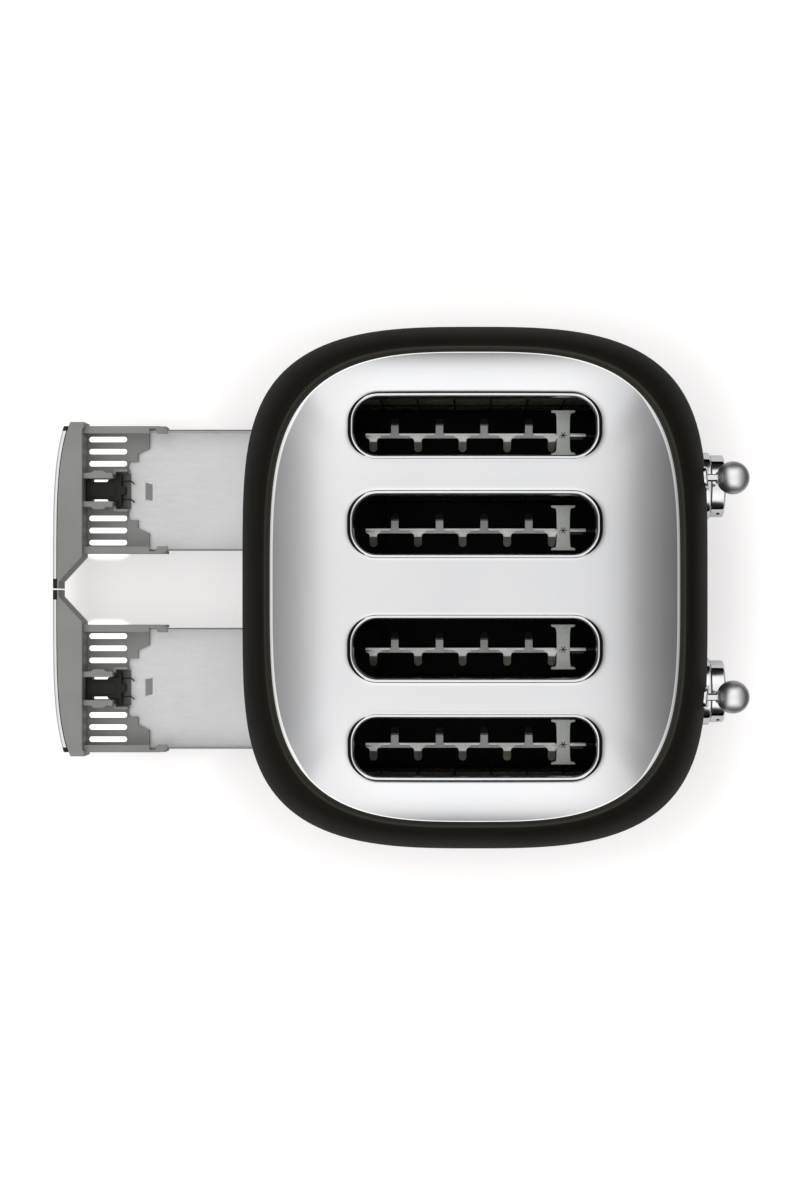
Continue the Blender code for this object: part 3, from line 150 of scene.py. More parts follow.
# Brightness towards -X and +X, by the share of a direction that points along that axis
falloff = [(-1.0, 0.26), (-0.92, 0.345), (-0.82, 0.46), (-0.76, 0.56), (-0.70, 0.655), (-0.645, 0.79),
           (-0.59, 0.93), (-0.52, 0.99), (-0.45, 1.0), (-0.20, 0.98), (0.0, 0.965), (0.28, 0.95),
           (0.37, 0.915), (0.43, 0.87), (0.485, 0.80), (0.55, 0.715), (0.61, 0.565), (0.67, 0.44),
           (0.73, 0.365), (0.79, 0.305), (0.89, 0.21), (1.0, 0.12)]
stops = [((along + 1) / 2, level) for along, level in falloff]
soft_box = sky.node("ValToRGB", {"stops": stops}, {"Fac": sky.axis(0) * 0.5 + 0.5})
# The same towards +Y and -Y, over 1.3 so that it can rise above one
flanks = [(0.0, 0.735), (0.25, 0.78), (0.55, 0.95), (0.70, 0.985), (0.75, 0.965), (0.78, 0.935),
          (0.80, 0.905), (0.82, 0.86), (0.837, 0.79), (0.853, 0.66), (0.87, 0.45), (0.888, 0.22),
          (0.91, 0.08), (0.95, 0.02), (1.0, 0.01)]
flank_box = sky.node("ValToRGB", {"stops": flanks}, {"Fac": sky.axis(1).size()})
# and a little less between those directions
diagonal = (sky.axis(0) * sky.axis(1)).size().between(0.10, 0.33, 1.0, 0.85)
brightness = soft_box * flank_box * 1.3 * diagonal * sky.axis(2).between(-0.03, 0.05)
brightness = brightness * (1 - seen) + seen
backdrop = studio.node_tree.nodes["Background"]
backdrop.inputs["Color"].default_value = rgba(1)
studio.node_tree.links.new(brightness.socket, backdrop.inputs["Strength"])

table_paint = bpy.data.materials.new("table_paint")
table_paint.use_nodes = True
table_tree = table_paint.node_tree
table_tree.nodes.clear()
rays = table_tree.nodes.new("ShaderNodeLightPath")
camera_ray, clear_ray, mirrored = (Signal(table_tree, rays.outputs["Is %s Ray" % kind])
                                   for kind in ("Camera", "Transmission", "Glossy"))
spot = Signal(table_tree, table_tree.nodes.new("ShaderNodeTexCoord").outputs["Object"])
away = spot.node("VectorMath", {"operation": "LENGTH"}, {0: spot}, 1)
lit = spot.node("BsdfDiffuse", {}, {"Color": PAPER})
glowing = spot.node("Emission", {}, {"Color": GLOW, "Strength": GLOW_STRENGTH})
unlit = spot.node("Emission", {}, {"Color": 0, "Strength": 0.0})


def patch(centre, half_x, half_y, aside=0.0):
    """The sum (|x - centre| / half_x)^4 + (||y| - aside| / half_y)^4, which is 1 on the rim of a
    rounded rectangle, or of two when aside sets them apart."""
    along = (spot.axis(0) - centre).size() * (1 / half_x)
    across = (spot.axis(1).size() - aside).size() * (1 / half_y)
    return spot.sum("POWER", along, 4.0) + spot.sum("POWER", across, 4.0)


# Painted shadow and light on the table: the glow of the paper is weaker close round the body and
# between the trays, as a painted shadow, and stronger where it is seen through the slots of the trays, as
# painted light. Mirrored, it is dimmer, and dark beyond half a metre, as a painted darker reflection.
painted_shadow_round_body, painted_shadow_round_trays = patch(MIDDLE, 0.157, 0.155), patch(MIDDLE - 0.18, 0.078, 0.095)
painted_light_under_slots = patch(MIDDLE - 0.248, 0.0185, 0.040, 0.0647)
glow = spot.sum("MINIMUM", painted_shadow_round_body, painted_shadow_round_trays).between(1.0, 2.6, 0.25, 0.37)
glow = spot.sum("MAXIMUM", glow, painted_light_under_slots.between(1.0, 1.8, 0.75, 0.25))
looked_at = spot.sum("MINIMUM", camera_ray + clear_ray + mirrored, 1.0)
shown = spot.node("MixShader", {}, {0: looked_at * glow, 1: lit, 2: glowing})
shown = spot.node("MixShader", {}, {0: mirrored * away.between(0.40, 0.52, 0.42, 1.0), 1: shown, 2: unlit})
table_tree.links.new(shown.socket, table_tree.nodes.new("ShaderNodeOutputMaterial").inputs["Surface"])
table_mesh = bpy.data.meshes.new("table")
table_mesh.from_pydata([(x * HALF_TABLE, y * HALF_TABLE, 0) for x, y in ((-1, -1), (1, -1), (1, 1), (-1, 1))],
                       [], [(0, 1, 2, 3)])
table_mesh.materials.append(table_paint)
table = bpy.data.objects.new("table", table_mesh)
bpy.context.scene.collection.objects.link(table)

camera = bpy.data.objects.new("overhead_camera", bpy.data.cameras.new("overhead_camera"))
camera.location = (MIDDLE, CAMERA_Y, CAMERA_HEIGHT)
camera.data.sensor_width = 36
camera.data.lens = 64.47
camera.data.shift_x = -0.0625
camera.data.shift_y = 0.0061
bpy.context.scene.collection.objects.link(camera)
bpy.context.scene.camera = camera
bpy.context.scene.view_settings.view_transform = "Standard"


# The painted body: one deep-drawn steel shell, widest a little below the middle of its height, with
# a shoulder that rolls over into a groove and a ledge for the cover. Satin warm-black enamel, baked on.
SIDES = (("right", 1), ("left", -1))
BODY_X = 0.1440
BODY_Y = 0.1612
COVER_X = 0.1202
COVER_Y = 0.1376
COVER_POWERS = (3.15, 3.60)
SHELL_BOTTOM = 0.0343
WIDEST = 0.100
CREST = 0.1945
CREST_ROW = 36
LEDGE = 0.1910
LEDGE_WIDTH = 0.0085
SHELL_WALL = 0.0012
TUCK = 0.0070
CREST_INSET = 0.0205
GROOVE = 0.0018
# A painted highlight: the groove's paler colour stands in for the cover's bright edge reflected on its slope
GROOVE_PAINTED_HIGHLIGHT = (0.054, 0.051, 0.042)
LEVER_Y = 0.0662
CONTROL_Z = 0.0610
BUTTON_ORBIT = 0.0290
LEVER_SLOT = (0.0054, 0.0875, 0.1585)
GLAND_Z = 0.060


def share_out(x, y, half_x, half_y, power_x, power_y):
    """How far out a place lies: the t at which (|x| / (t half_x))^m + (|y| / (t half_y))^n = 1,
    found with Newton's steps, so that t is 1 on the outline with these half sizes and powers."""
    along, across = abs(x) / half_x, abs(y) / half_y
    power = (power_x + power_y) / 2
    share = np.maximum((along ** power + across ** power) ** (1 / power), 1e-6)
    for _ in range(6):
        first, second = (along / share) ** power_x, (across / share) ** power_y
        share = share + share * (first + second - 1) / (power_x * first + power_y * second + 1e-9)
    return share


def oblong(half_x, half_y, powers, turn):
    """A rounded oblong (|x| / half_x)^m + (|y| / half_y)^n = 1 at each angle, where the angle is the
    turn with its steps crowded a little towards the corners."""
    angle = turn + 0.1 * np.sin(4 * turn)
    along, across = np.cos(angle), np.sin(angle)
    reach = 1 / share_out(along, across, half_x, half_y, *powers)
    return reach * along, reach * across


def turns(count):
    """Angles of even steps round a circle."""
    return np.arange(count) * 2 * math.pi / count


def grid(x, y, z):
    """Points from three arrays that are spread over each other."""
    return np.stack(np.broadcast_arrays(x, y, z), -1)


def mm(sizes):
    """Sizes or points that are given in millimetres."""
    return np.array(sizes, float) / 1000


def body_level(height):
    """Inset and powers of the body's outline at a height: a parabola below the widest level, and
    above it inset = CREST_INSET (1 - cos(q)^1.14) where sin(q) is the share of the way to the crest."""
    low = np.clip((height - SHELL_BOTTOM) / (WIDEST - SHELL_BOTTOM), 0, 1)
    high = np.clip((height - WIDEST) / (CREST - WIDEST), 0, 1)
    inset = TUCK * (1 - low) ** 2 + CREST_INSET * (1 - (1 - high ** 2) ** 0.57)
    return inset, 4.3 - 1.3 * low + 0.15 * high, 4.3 + 0.1 * low - 0.8 * high ** 2


def body_front(across, height):
    """How far the body's front stands forward of its middle at places across and up it."""
    inset, power_x, power_y = body_level(height)
    return (BODY_X - inset) * (1 - (abs(across) / (BODY_Y - inset)) ** power_y) ** (1 / power_x)


def shell_rows(depth, columns=192):
    """Rows of the body from its lower edge over the crest and down the groove, by
    CREST - (CREST - LEDGE) q^2, to the ledge's inner rim, all set inwards by depth."""
    heights = np.concatenate([np.linspace(SHELL_BOTTOM, WIDEST, 13),
                              WIDEST + (CREST - WIDEST) * np.sin(np.linspace(0, math.pi / 2, 25)[1:])])
    inset, power_x, power_y = body_level(heights)
    fall = np.linspace(0, 1, 9)[1:]
    inset = np.concatenate([inset, CREST_INSET + GROOVE * fall, [CREST_INSET + GROOVE + LEDGE_WIDTH]])
    power_x = np.concatenate([power_x, np.full(9, COVER_POWERS[0])])
    power_y = np.concatenate([power_y, np.full(9, COVER_POWERS[1])])
    heights = np.concatenate([heights, CREST - (CREST - LEDGE) * fall ** 2, [LEDGE]])
    lean = np.clip((heights - WIDEST) / (CREST - WIDEST), 0, 1) ** 2
    before_crest = np.arange(len(inset)) < CREST_ROW
    inner = inset + depth * np.where(before_crest, np.sqrt(1 - lean ** 2) + 0.15 * lean, -0.5)
    inner[-1] = inset[-1]
    x, y = oblong((BODY_X - inner)[:, None], (BODY_Y - inner)[:, None], (power_x[:, None], power_y[:, None]),
                  turns(columns))
    return grid(x, y, (heights - depth * lean)[:, None])


def skin(points, loop=True, ring=False):
    """Corners and quads of a grid of points. loop joins the last column to the first, and ring
    joins the last row to the first."""
    rows, columns = points.shape[:2]
    index = np.arange(rows * columns).reshape(rows, columns)
    if loop:
        index = np.concatenate([index, index[:, :1]], 1)
    if ring:
        index = np.concatenate([index, index[:1]], 0)
    quads = np.stack([index[:-1, :-1], index[:-1, 1:], index[1:, 1:], index[1:, :-1]], -1)
    return points.reshape(-1, 3), quads.reshape(-1, 4).tolist()


def capped(points):
    """A skin whose first and last rows are each closed with a face."""
    corners, faces = skin(points)
    around = points.shape[1]
    last = len(corners) - around
    return corners, faces + [list(range(around)), list(range(last, last + around))]


def mesh_of(name, parts, sharp=40):
    """One mesh from several parts, put at the body's middle: doubles merged, faces turned
    outwards, edges above sharp degrees left hard."""
    corners, faces, first = [], [], 0
    for points, polygons in parts:
        corners.append(np.asarray(points, float) + (MIDDLE, 0, 0))
        faces += [[first + corner for corner in polygon] for polygon in polygons]
        first += len(points)
    mesh = bpy.data.meshes.new(name)
    mesh.from_pydata(np.concatenate(corners).tolist(), [], faces)
    work = bmesh.new()
    work.from_mesh(mesh)
    bmesh.ops.remove_doubles(work, verts=work.verts, dist=0.000002)
    bmesh.ops.recalc_face_normals(work, faces=work.faces)
    work.to_mesh(mesh)
    work.free()
    mesh.shade_smooth()
    mesh.set_sharp_from_angle(angle=math.radians(sharp))
    return mesh


def piece(name, parts, material, body, replaces=(), sharp=40):
    """A finished piece that rides on a body and takes the finish it is given."""
    made = bpy.data.objects.new(name, mesh_of(name, parts, sharp))
    made.data.materials.append(material)
    bpy.context.scene.collection.objects.link(made)
    if body:
        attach(made, body)
    if replaces:
        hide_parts(*replaces)
    return made


def spun(profile, centre, axis, count=64, close=False):
    """A profile of (radius, distance along) points turned about an axis through centre."""
    radius, distance = np.asarray(profile, float).T
    turn = turns(count)
    along = {"x": (1, 0, 0), "y": (0, 1, 0), "z": (0, 0, 1)}[axis]
    first = {"x": (0, 1, 0), "y": (0, 0, 1), "z": (1, 0, 0)}[axis]
    second = np.cross(along, first)
    rim = np.cos(turn)[:, None] * np.array(first) + np.sin(turn)[:, None] * second
    points = np.array(centre) + distance[:, None, None] * np.array(along) + radius[:, None, None] * rim[None]
    return skin(points, ring=close)


def pressed(outlines, low, high, edge=0.0002, plane="xy"):
    """A flat outline with holes, drawn out from low to high across its plane, its rims rounded."""
    curve = bpy.data.curves.new("pressed", "CURVE")
    curve.dimensions = "2D"
    curve.fill_mode = "BOTH"
    curve.extrude = (high - low) / 2 - edge
    curve.bevel_depth = edge
    curve.bevel_resolution = 1
    curve.offset = -edge
    for outline in outlines:
        outline = np.asarray(outline, float)
        spline = curve.splines.new("POLY")
        spline.points.add(len(outline) - 1)
        flat = np.concatenate([outline, np.zeros((len(outline), 1)), np.ones((len(outline), 1))], 1)
        spline.points.foreach_set("co", flat.ravel())
        spline.use_cyclic_u = True
    holder = bpy.data.objects.new("pressed", curve)
    bpy.context.scene.collection.objects.link(holder)
    mesh = bpy.data.meshes.new_from_object(holder.evaluated_get(bpy.context.evaluated_depsgraph_get()))
    corners = np.zeros(len(mesh.vertices) * 3)
    mesh.vertices.foreach_get("co", corners)
    corners = corners.reshape(-1, 3) + (0, 0, (low + high) / 2)
    order = {"xy": (0, 1, 2), "yz": (2, 0, 1), "xz": (0, 2, 1)}[plane]
    faces = [list(polygon.vertices) for polygon in mesh.polygons]
    bpy.data.objects.remove(holder)
    bpy.data.curves.remove(curve)
    bpy.data.meshes.remove(mesh)
    return corners[:, order], faces


def corner_fans(half_x, half_y, steps):
    """The corners of a rectangle, each repeated, with directions that turn a quarter at each."""
    angle = np.concatenate([np.linspace(0, math.pi / 2, steps) + quarter * math.pi / 2 for quarter in range(4)])
    corners = np.stack([np.repeat([1, -1, -1, 1], steps) * half_x, np.repeat([1, 1, -1, -1], steps) * half_y], 1)
    return corners, np.stack([np.cos(angle), np.sin(angle)], 1)


def oval(size_x, size_y, radius, steps=8, centre=(0, 0)):
    """Outline of a rectangle with rounded corners, drawn anticlockwise."""
    corners, facing = corner_fans(size_x / 2 - radius, size_y / 2 - radius, steps)
    return np.array(centre) + corners + radius * facing


def finish(name, plain, paint):
    """A material from plain socket values and from what paint(place) works out over the surface.
    Height, with its depth in metres, becomes a bump."""
    material = bpy.data.materials.new(name)
    material.use_nodes = True
    tree = material.node_tree
    shader = tree.nodes["Principled BSDF"]
    for socket, value in plain.items():
        shader.inputs[socket].default_value = value
    place = Signal(tree, tree.nodes.new("ShaderNodeTexCoord").outputs["Object"])
    for socket, signal in paint(place).items():
        if socket == "Height":
            signal = place.node("Bump", {}, {"Strength": 1.0, "Distance": signal[1], "Height": signal[0]})
            socket = "Normal"
        tree.links.new(signal.socket, shader.inputs[socket])
    return material


def button_places(side):
    """Centres across and up of the three buttons beside a knob, on an arc towards the middle."""
    angle = np.radians((-35, 0, 35))
    return np.stack([side * (LEVER_Y - BUTTON_ORBIT * np.cos(angle)), CONTROL_Z + BUTTON_ORBIT * np.sin(angle)], 1)


def enamel_paint(place):
    """Enamel with a painted highlight in the groove, paler where (|x| / COVER_X)^m + (|y| / COVER_Y)^n is
    below about 1.08.
    """
    fleck = place.grain(900.0, 1.0)
    satin = place.grain(9.0).between(0.3, 0.7).tint((0.0112, 0.0100, 0.0074), (0.0136, 0.0122, 0.0092))
    along = (place.axis(0) - MIDDLE).size() * (1 / COVER_X)
    across = place.axis(1).size() * (1 / COVER_Y)
    out = place.sum("POWER", along, COVER_POWERS[0]) + place.sum("POWER", across, COVER_POWERS[1])
    return {
        "Base Color": out.between(1.065, 1.10, 1.0, 0.0).tint(satin, GROOVE_PAINTED_HIGHLIGHT),
        "Roughness": 0.56 + place.grain(40.0) * 0.08,
        "Height": (fleck + place.grain(260.0, 0.0) * 0.6, 0.000012),
    }


def plug(radius, length):
    """The profile of a round cutter."""
    return [(0, 0), (radius, 0), (radius, length), (0, length)]


enamel = finish("satin_black_enamel", {"Specular IOR Level": 0.04}, enamel_paint)
walls = np.concatenate([shell_rows(0.0), shell_rows(SHELL_WALL)[::-1]])
shell = piece("body_shell", [skin(walls, ring=True)], enamel, None, sharp=50)
slot_width, slot_low, slot_high = LEVER_SLOT
slot_middle = (slot_low + slot_high) / 2
cuts = [spun(plug(0.0053, 0.03), (-0.158, 0, GLAND_Z), "x", 24)]
for _, side in SIDES:
    lever_slot = oval(slot_width, slot_high - slot_low, slot_width / 2, 8, (side * LEVER_Y, slot_middle))
    cuts.append(pressed([lever_slot], 0.11, 0.16, 0.0, "yz"))
    cuts.append(spun(plug(0.0033, 0.05), (0.11, side * LEVER_Y, CONTROL_Z), "x", 24))
    cuts += [spun(plug(0.0043, 0.05), (0.11, y, z), "x", 24) for y, z in button_places(side)]
cutter = bpy.data.objects.new("shell_cuts", mesh_of("shell_cuts", cuts))
bpy.context.scene.collection.objects.link(cutter)
boolean = shell.modifiers.new("holes", "BOOLEAN")
boolean.object = cutter
whole = shell.data
shell.data = bpy.data.meshes.new_from_object(shell.evaluated_get(bpy.context.evaluated_depsgraph_get()))
shell.modifiers.clear()
shell.data.name = "body_shell"
shell.data.shade_smooth()
shell.data.set_sharp_from_angle(angle=math.radians(50))
bpy.data.meshes.remove(whole)
bpy.data.objects.remove(cutter)
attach(shell, "housing")
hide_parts("outer_shell")


# The top cover: a domed sheet of polished stainless steel with a small upright lip, and four
# long slots whose edges are rolled up into a bead and then drawn down as a throat.
HEM = 0.9960
HEM_EXTRA = 0.0100
COVER_BOTTOM = 0.1913
COVER_LIP = 0.0016
COVER_SHEET = 0.0010
DOME = 0.0206
THROAT_LOW = 0.1955
SLOT_LENGTH = 0.1410
SLOT_WIDTH = 0.0345
SLOT_CORNER = 0.0142
SLOT_YS = (0.0359, 0.0932)
SLOT_CENTRES = [side * y for _, side in SIDES for y in SLOT_YS]
BEAD_SPAN = 0.0050
# Shares of the bead's span that hold the painted dark reflection, and how squarely a place must face an end
DARK_REFLECTION_SHARES = (0.19, 0.475)
DARK_REFLECTION_FACING = 0.42
RIM_START = 0.9
# Distance out from the slot's edge and rise above the dome, as shares of the bead's span: a soft
# swell, a small steep step, and the rolled inner edge
BEAD_SHARES = np.array([(1.00, 0.000), (0.88, 0.002), (0.78, 0.008), (0.68, 0.020), (0.60, 0.037),
                        (0.53, 0.056), (0.48, 0.074), (0.455, 0.092), (0.43, 0.128), (0.40, 0.158),
                        (0.37, 0.178), (0.32, 0.192), (0.26, 0.197), (0.20, 0.188), (0.14, 0.162),
                        (0.09, 0.118), (0.05, 0.054), (0.02, -0.030), (0.00, -0.140)])


def cover_share(x, y):
    """How far out a place lies on the cover, 1 on its outline."""
    return share_out(x, y, COVER_X, COVER_Y, *COVER_POWERS)


def hem(x, y):
    """Where the flat hem begins, as a share of the way out: 1.7 mm inside the outline at both ends of
    the cover and 0.6 mm along its sides."""
    toward_end = np.clip((abs(x) / COVER_X / np.maximum(cover_share(x, y), 1e-6) - 0.78) / 0.12, 0, 1)
    return HEM - HEM_EXTRA * toward_end ** 2 * (3 - 2 * toward_end)


def crown(x, y):
    """Height of the domed sheet: rise (1 - t^3.6), where t grows from 0 at the middle to 1 at the
    narrow flat hem just inside the cover's outline."""
    return COVER_BOTTOM + COVER_LIP + DOME * (1 - np.clip(cover_share(x, y) / hem(x, y), 0, 1) ** 3.6)


def slot_distance(x, y, centre):
    """Distance outside a slot's rounded outline, by the distance to a rectangle shrunk by its corners."""
    beyond_x = abs(x) - (SLOT_LENGTH / 2 - SLOT_CORNER)
    beyond_y = abs(y - centre) - (SLOT_WIDTH / 2 - SLOT_CORNER)
    outside_part = np.hypot(np.maximum(beyond_x, 0), np.maximum(beyond_y, 0))
    return outside_part + np.minimum(np.maximum(beyond_x, beyond_y), 0) - SLOT_CORNER


def slot_edge(centre, offset):
    """The slot's outline pushed out by an offset for each row, and by 38% more at both ends: a
    straight-sided loop with round corners."""
    steps = 15
    base, facing = corner_fans(SLOT_LENGTH / 2 - SLOT_CORNER, SLOT_WIDTH / 2 - SLOT_CORNER, steps)
    bases, facings = [], []
    for quarter, count in enumerate((32, 3, 32, 3)):
        last = (quarter + 1) * steps - 1
        here, after = slice(quarter * steps, last + 1), (last + 1) % (4 * steps)
        share = np.linspace(0, 1, count + 2)[1:-1, None]
        bases += [base[here], base[last] + (base[after] - base[last]) * share]
        facings += [facing[here], np.repeat(facing[last][None], count, 0)]
    base, facing = np.concatenate(bases), np.concatenate(facings)
    reach = SLOT_CORNER + np.asarray(offset)[:, None] * (1 + 0.38 * facing[None, :, 0] ** 2)
    return base[None, :, 0] + reach * facing[None, :, 0], centre + base[None, :, 1] + reach * facing[None, :, 1]


def slot_skin(centre):
    """One slot's bead and throat: from the dome over the bead, down the throat and back under the sheet."""
    x, y = slot_edge(centre, BEAD_SPAN * BEAD_SHARES[:, 0])
    z = crown(x, y) + BEAD_SPAN * BEAD_SHARES[:, 1, None]
    throat = grid(x[-1], y[-1], z[-1] + (THROAT_LOW - z[-1]) * np.linspace(0, 1, 7)[1:, None])
    back_x, back_y = slot_edge(centre, [0.0010, 0.0010, 0.0014, 0.0022, 0.0032, BEAD_SPAN])
    back_z = crown(back_x, back_y) - COVER_SHEET + np.array([0, -0.0004, 0, 0.0001, 0, 0])[:, None]
    back_z[0] = THROAT_LOW
    return skin(np.concatenate([grid(x, y, z), throat, grid(back_x, back_y, back_z)]))


def dark_reflection_strips(centre):
    """A painted dark reflection round both ends of a slot: a dark strip on the outer flank of the bead that
    is widest at the middle of the end and runs out towards the long sides."""
    x, y = slot_edge(centre, BEAD_SPAN * np.array(DARK_REFLECTION_SHARES))
    facing = (x[1] - x[0]) / np.hypot(x[1] - x[0], y[1] - y[0])
    strips = []
    for end in (-1, 1):
        here = np.flatnonzero(facing * end > DARK_REFLECTION_FACING)
        here = here[np.argsort(y[1][here] * end)]
        width = ((facing[here] * end - DARK_REFLECTION_FACING) / (1 - DARK_REFLECTION_FACING)) ** 0.55
        share = 0.5 + 0.25 * (1 - width) + np.linspace(-0.5, 0.5, 7)[::-1, None] * width
        along, across = (inner[here] + (outer - inner)[here] * share for inner, outer in (x, y))
        rise = np.interp(DARK_REFLECTION_SHARES[0] + (DARK_REFLECTION_SHARES[1] - DARK_REFLECTION_SHARES[0]) * share, BEAD_SHARES[::-1, 0], BEAD_SHARES[::-1, 1])
        top = grid(along, across, crown(along, across) + BEAD_SPAN * rise + 0.00014)
        points, faces = skin(np.concatenate([top, top[::-1] - (0, 0, 0.0003)]), loop=False, ring=True)
        starts = np.arange(2 * len(top)) * len(here)
        strips.append((points, faces + [starts[::-1].tolist(), (starts + len(here) - 1).tolist()]))
    return strips


def lip_skin(columns):
    """The cover's edge: from 0.9 of the way out, over the rim, down the lip and back underneath."""
    turn = turns(columns)
    flat = hem(*oblong(COVER_X, COVER_Y, COVER_POWERS, turn))
    out = flat - (flat - RIM_START) * (1 - np.linspace(0, 1, 20)[:, None]) ** 2.4
    rest = np.repeat(np.array([0.9985, 1.0, 1.0, 0.992, 0.992])[:, None], columns, 1)
    shares = np.concatenate([out, rest, out[::-1][2:]])
    x, y = oblong(COVER_X * shares, COVER_Y * shares, COVER_POWERS, turn[None, :])
    z = crown(x, y)
    z[21] -= 0.0002
    z[22:24] = COVER_BOTTOM
    z[24:] -= COVER_SHEET
    return skin(grid(x, y, z)), np.stack([x[0], y[0]], 1)


def inside_loop(points, loop):
    """Whether points lie in a convex loop: to the left of every one of its sides."""
    side = np.roll(loop, -1, 0) - loop
    offset = points[:, None, :] - loop[None]
    return (side[None, :, 0] * offset[..., 1] - side[None, :, 1] * offset[..., 0] > 0).all(1)


def sheet_between(edge, holes, drop, pitch=0.0026):
    """The dome between its rim and the slots, triangulated over an even spread of points."""
    across = np.arange(-COVER_Y, COVER_Y, pitch)
    x, y = np.meshgrid(np.arange(-COVER_X, COVER_X, pitch * 1.1), across)
    x = x + (np.arange(len(across)) % 2 * pitch * 0.55)[:, None]
    x, y = x.ravel(), y.ravel()
    clear = cover_share(x, y) < RIM_START - 0.012
    for centre in SLOT_CENTRES:
        clear &= slot_distance(x, y, centre) > BEAD_SPAN * 1.55
    loops = [edge] + holes
    borders, first = [], 0
    for loop in loops:
        index = first + np.arange(len(loop))
        borders += np.stack([index, np.roll(index, -1)], 1).tolist()
        first += len(loop)
    points = np.concatenate(loops + [np.stack([x, y], 1)[clear]])
    found = delaunay_2d_cdt(points.tolist(), borders, [], 0, 1e-9)
    points, faces = np.array([tuple(point) for point in found[0]]), np.array(found[2])
    middle = points[faces].mean(1)
    keep = cover_share(middle[:, 0], middle[:, 1]) < RIM_START
    for hole in holes:
        keep &= ~inside_loop(middle, hole)
    return np.column_stack([points, crown(*points.T) - drop]), faces[keep].tolist()


def steel_paint(place):
    """Polished steel with fine hairs along Y, and a painted highlight on the flat hem, which is whiter."""
    smear = place.grain(16.0, 3.0)
    hair = place.grain(600.0, 1.0, (1, 0.06, 1))
    sheet = smear.between(0.3, 0.7).tint((0.785, 0.79, 0.805), (0.815, 0.815, 0.82))
    flat = COVER_BOTTOM + COVER_LIP
    return {
        # Painted highlight: the flat hem gets a whiter colour than the rest of the sheet
        "Base Color": place.axis(2).between(flat + 0.0001, flat + 0.0003).tint((1.0, 1.0, 0.99), sheet),
        "Roughness": 0.15 + smear * 0.05 + hair * 0.03,
        "Height": (hair * 0.4 + place.grain(28.0, 0.0), 0.000012),
    }


# Nearly black, for the painted dark reflection at the slot ends
def dark_reflection_paint(place):
    dust = place.grain(300.0)
    return {
        "Base Color": dust.tint(0.003, (0.008, 0.008, 0.0075)),
        "Roughness": 0.62 + dust * 0.1,
        "Height": (dust, 0.000005),
    }


polished = finish("polished_stainless", {"Metallic": 1.0}, steel_paint)
rim, rim_loop = lip_skin(192)
slot_loops = [np.stack(slot_edge(centre, [BEAD_SPAN]), -1)[0] for centre in SLOT_CENTRES]
cover = [rim] + [slot_skin(centre) for centre in SLOT_CENTRES]
cover += [sheet_between(rim_loop, slot_loops, drop) for drop in (0.0, COVER_SHEET)]
piece("cover_sheet", cover, polished, "housing", ["top_cover"], sharp=60)
# Painted dark reflection: dark strips on the steep outer flank of the bead at both ends of each slot
dark_reflection_finish = finish("slot_painted_dark_reflection", {"Specular IOR Level": 0.1}, dark_reflection_paint)
dark_reflection_parts = [strip for centre in SLOT_CENTRES for strip in dark_reflection_strips(centre)]
piece("cover_painted_dark_reflections", dark_reflection_parts, dark_reflection_finish, "housing")


# The base: a moulded black pan on four rubber feet, with two fields of ribs and four screws underneath,
# and a bright plated band round it.
BAND_X = 0.1370
BAND_Y = 0.1555
BAND_POWER = 4.3
BAND_LOW = 0.0130
BAND_SECTION = mm([(0, 1.2), (0.6, 0.3), (1.6, 0), (2.8, 0), (2.8, 18), (1.6, 18), (0.6, 17.7), (0, 16.8),
                   (-0.2, 13), (-0.2, 5)])
TRAY_OPENING = 0.1109
FOOT = mm([(0, 5.7), (9, 5.7), (9.5, 5.2), (9.5, 1.8), (9, 0.6), (8.2, 0), (6.6, 0), (6.3, 0.6), (5.7, 0.6),
           (5.4, 0), (4.4, 0), (4.1, 1.4), (3.8, 2.6), (0, 2.6)])
SCREW = mm([(0, 6.1), (5.2, 6.1), (5, 5), (3.4, 4.8), (3, 5.6), (0, 5.6)])


def plastic(name, dark, light, plain=None):
    """A moulded or rubbery finish with a fine spark."""
    def paint(place):
        spark = place.grain(1400.0, 2.0)
        return {
            "Base Color": place.grain(30.0).between(0.3, 0.7).tint(dark, light),
            "Roughness": 0.46 + spark * 0.12,
            "Height": (spark, 0.00003),
        }
    return finish(name, plain or {}, paint)


def plated_paint(dark, light, roughness, haze_scale, dent_scale):
    """Paint for plated metal under a thin haze, with shallow dents."""
    def paint(place):
        haze = place.grain(haze_scale, 3.0)
        return {
            "Base Color": haze.between(0.35, 0.7).tint(dark, light),
            "Roughness": roughness + haze * 0.05,
            "Height": (place.grain(dent_scale, 0.0), 0.000006),
        }
    return paint


def coat(material, *nodes):
    """Gives solids of the frame that show as they are their material."""
    for node in nodes:
        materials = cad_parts[node].data.materials
        materials.clear()
        materials.append(material)


base_plastic = plastic("moulded_black", 0.006, 0.010, {"Specular IOR Level": 0.2})
rubber = plastic("foot_rubber", 0.012, 0.020)
chrome = finish("bright_chrome", {"Metallic": 1.0},
                plated_paint((0.80, 0.80, 0.81), (0.845, 0.845, 0.85), 0.05, 60.0, 120.0))
coat(base_plastic, "base_pan")

# The band leaves out the trays' opening at the back, and starts and ends there
turn = np.linspace(0, 2 * math.pi, 721)
x, y = oblong(BAND_X, BAND_Y, (BAND_POWER, BAND_POWER), turn)
beyond = np.flatnonzero(~((x < 0) & (abs(y) < TRAY_OPENING)))
cut_at = np.flatnonzero(np.diff(beyond) > 1)[0] + 1
turn = turn[np.concatenate([beyond[cut_at:], beyond[:cut_at]])]
inset, rise = BAND_SECTION[:, :1], BAND_SECTION[:, 1:]
x, y = oblong(BAND_X - inset, BAND_Y - inset, (BAND_POWER, BAND_POWER), turn[None, :])
piece("base_band", [capped(grid(x, y, BAND_LOW + rise).transpose(1, 0, 2))], chrome, "housing",
      ["base_trim"])

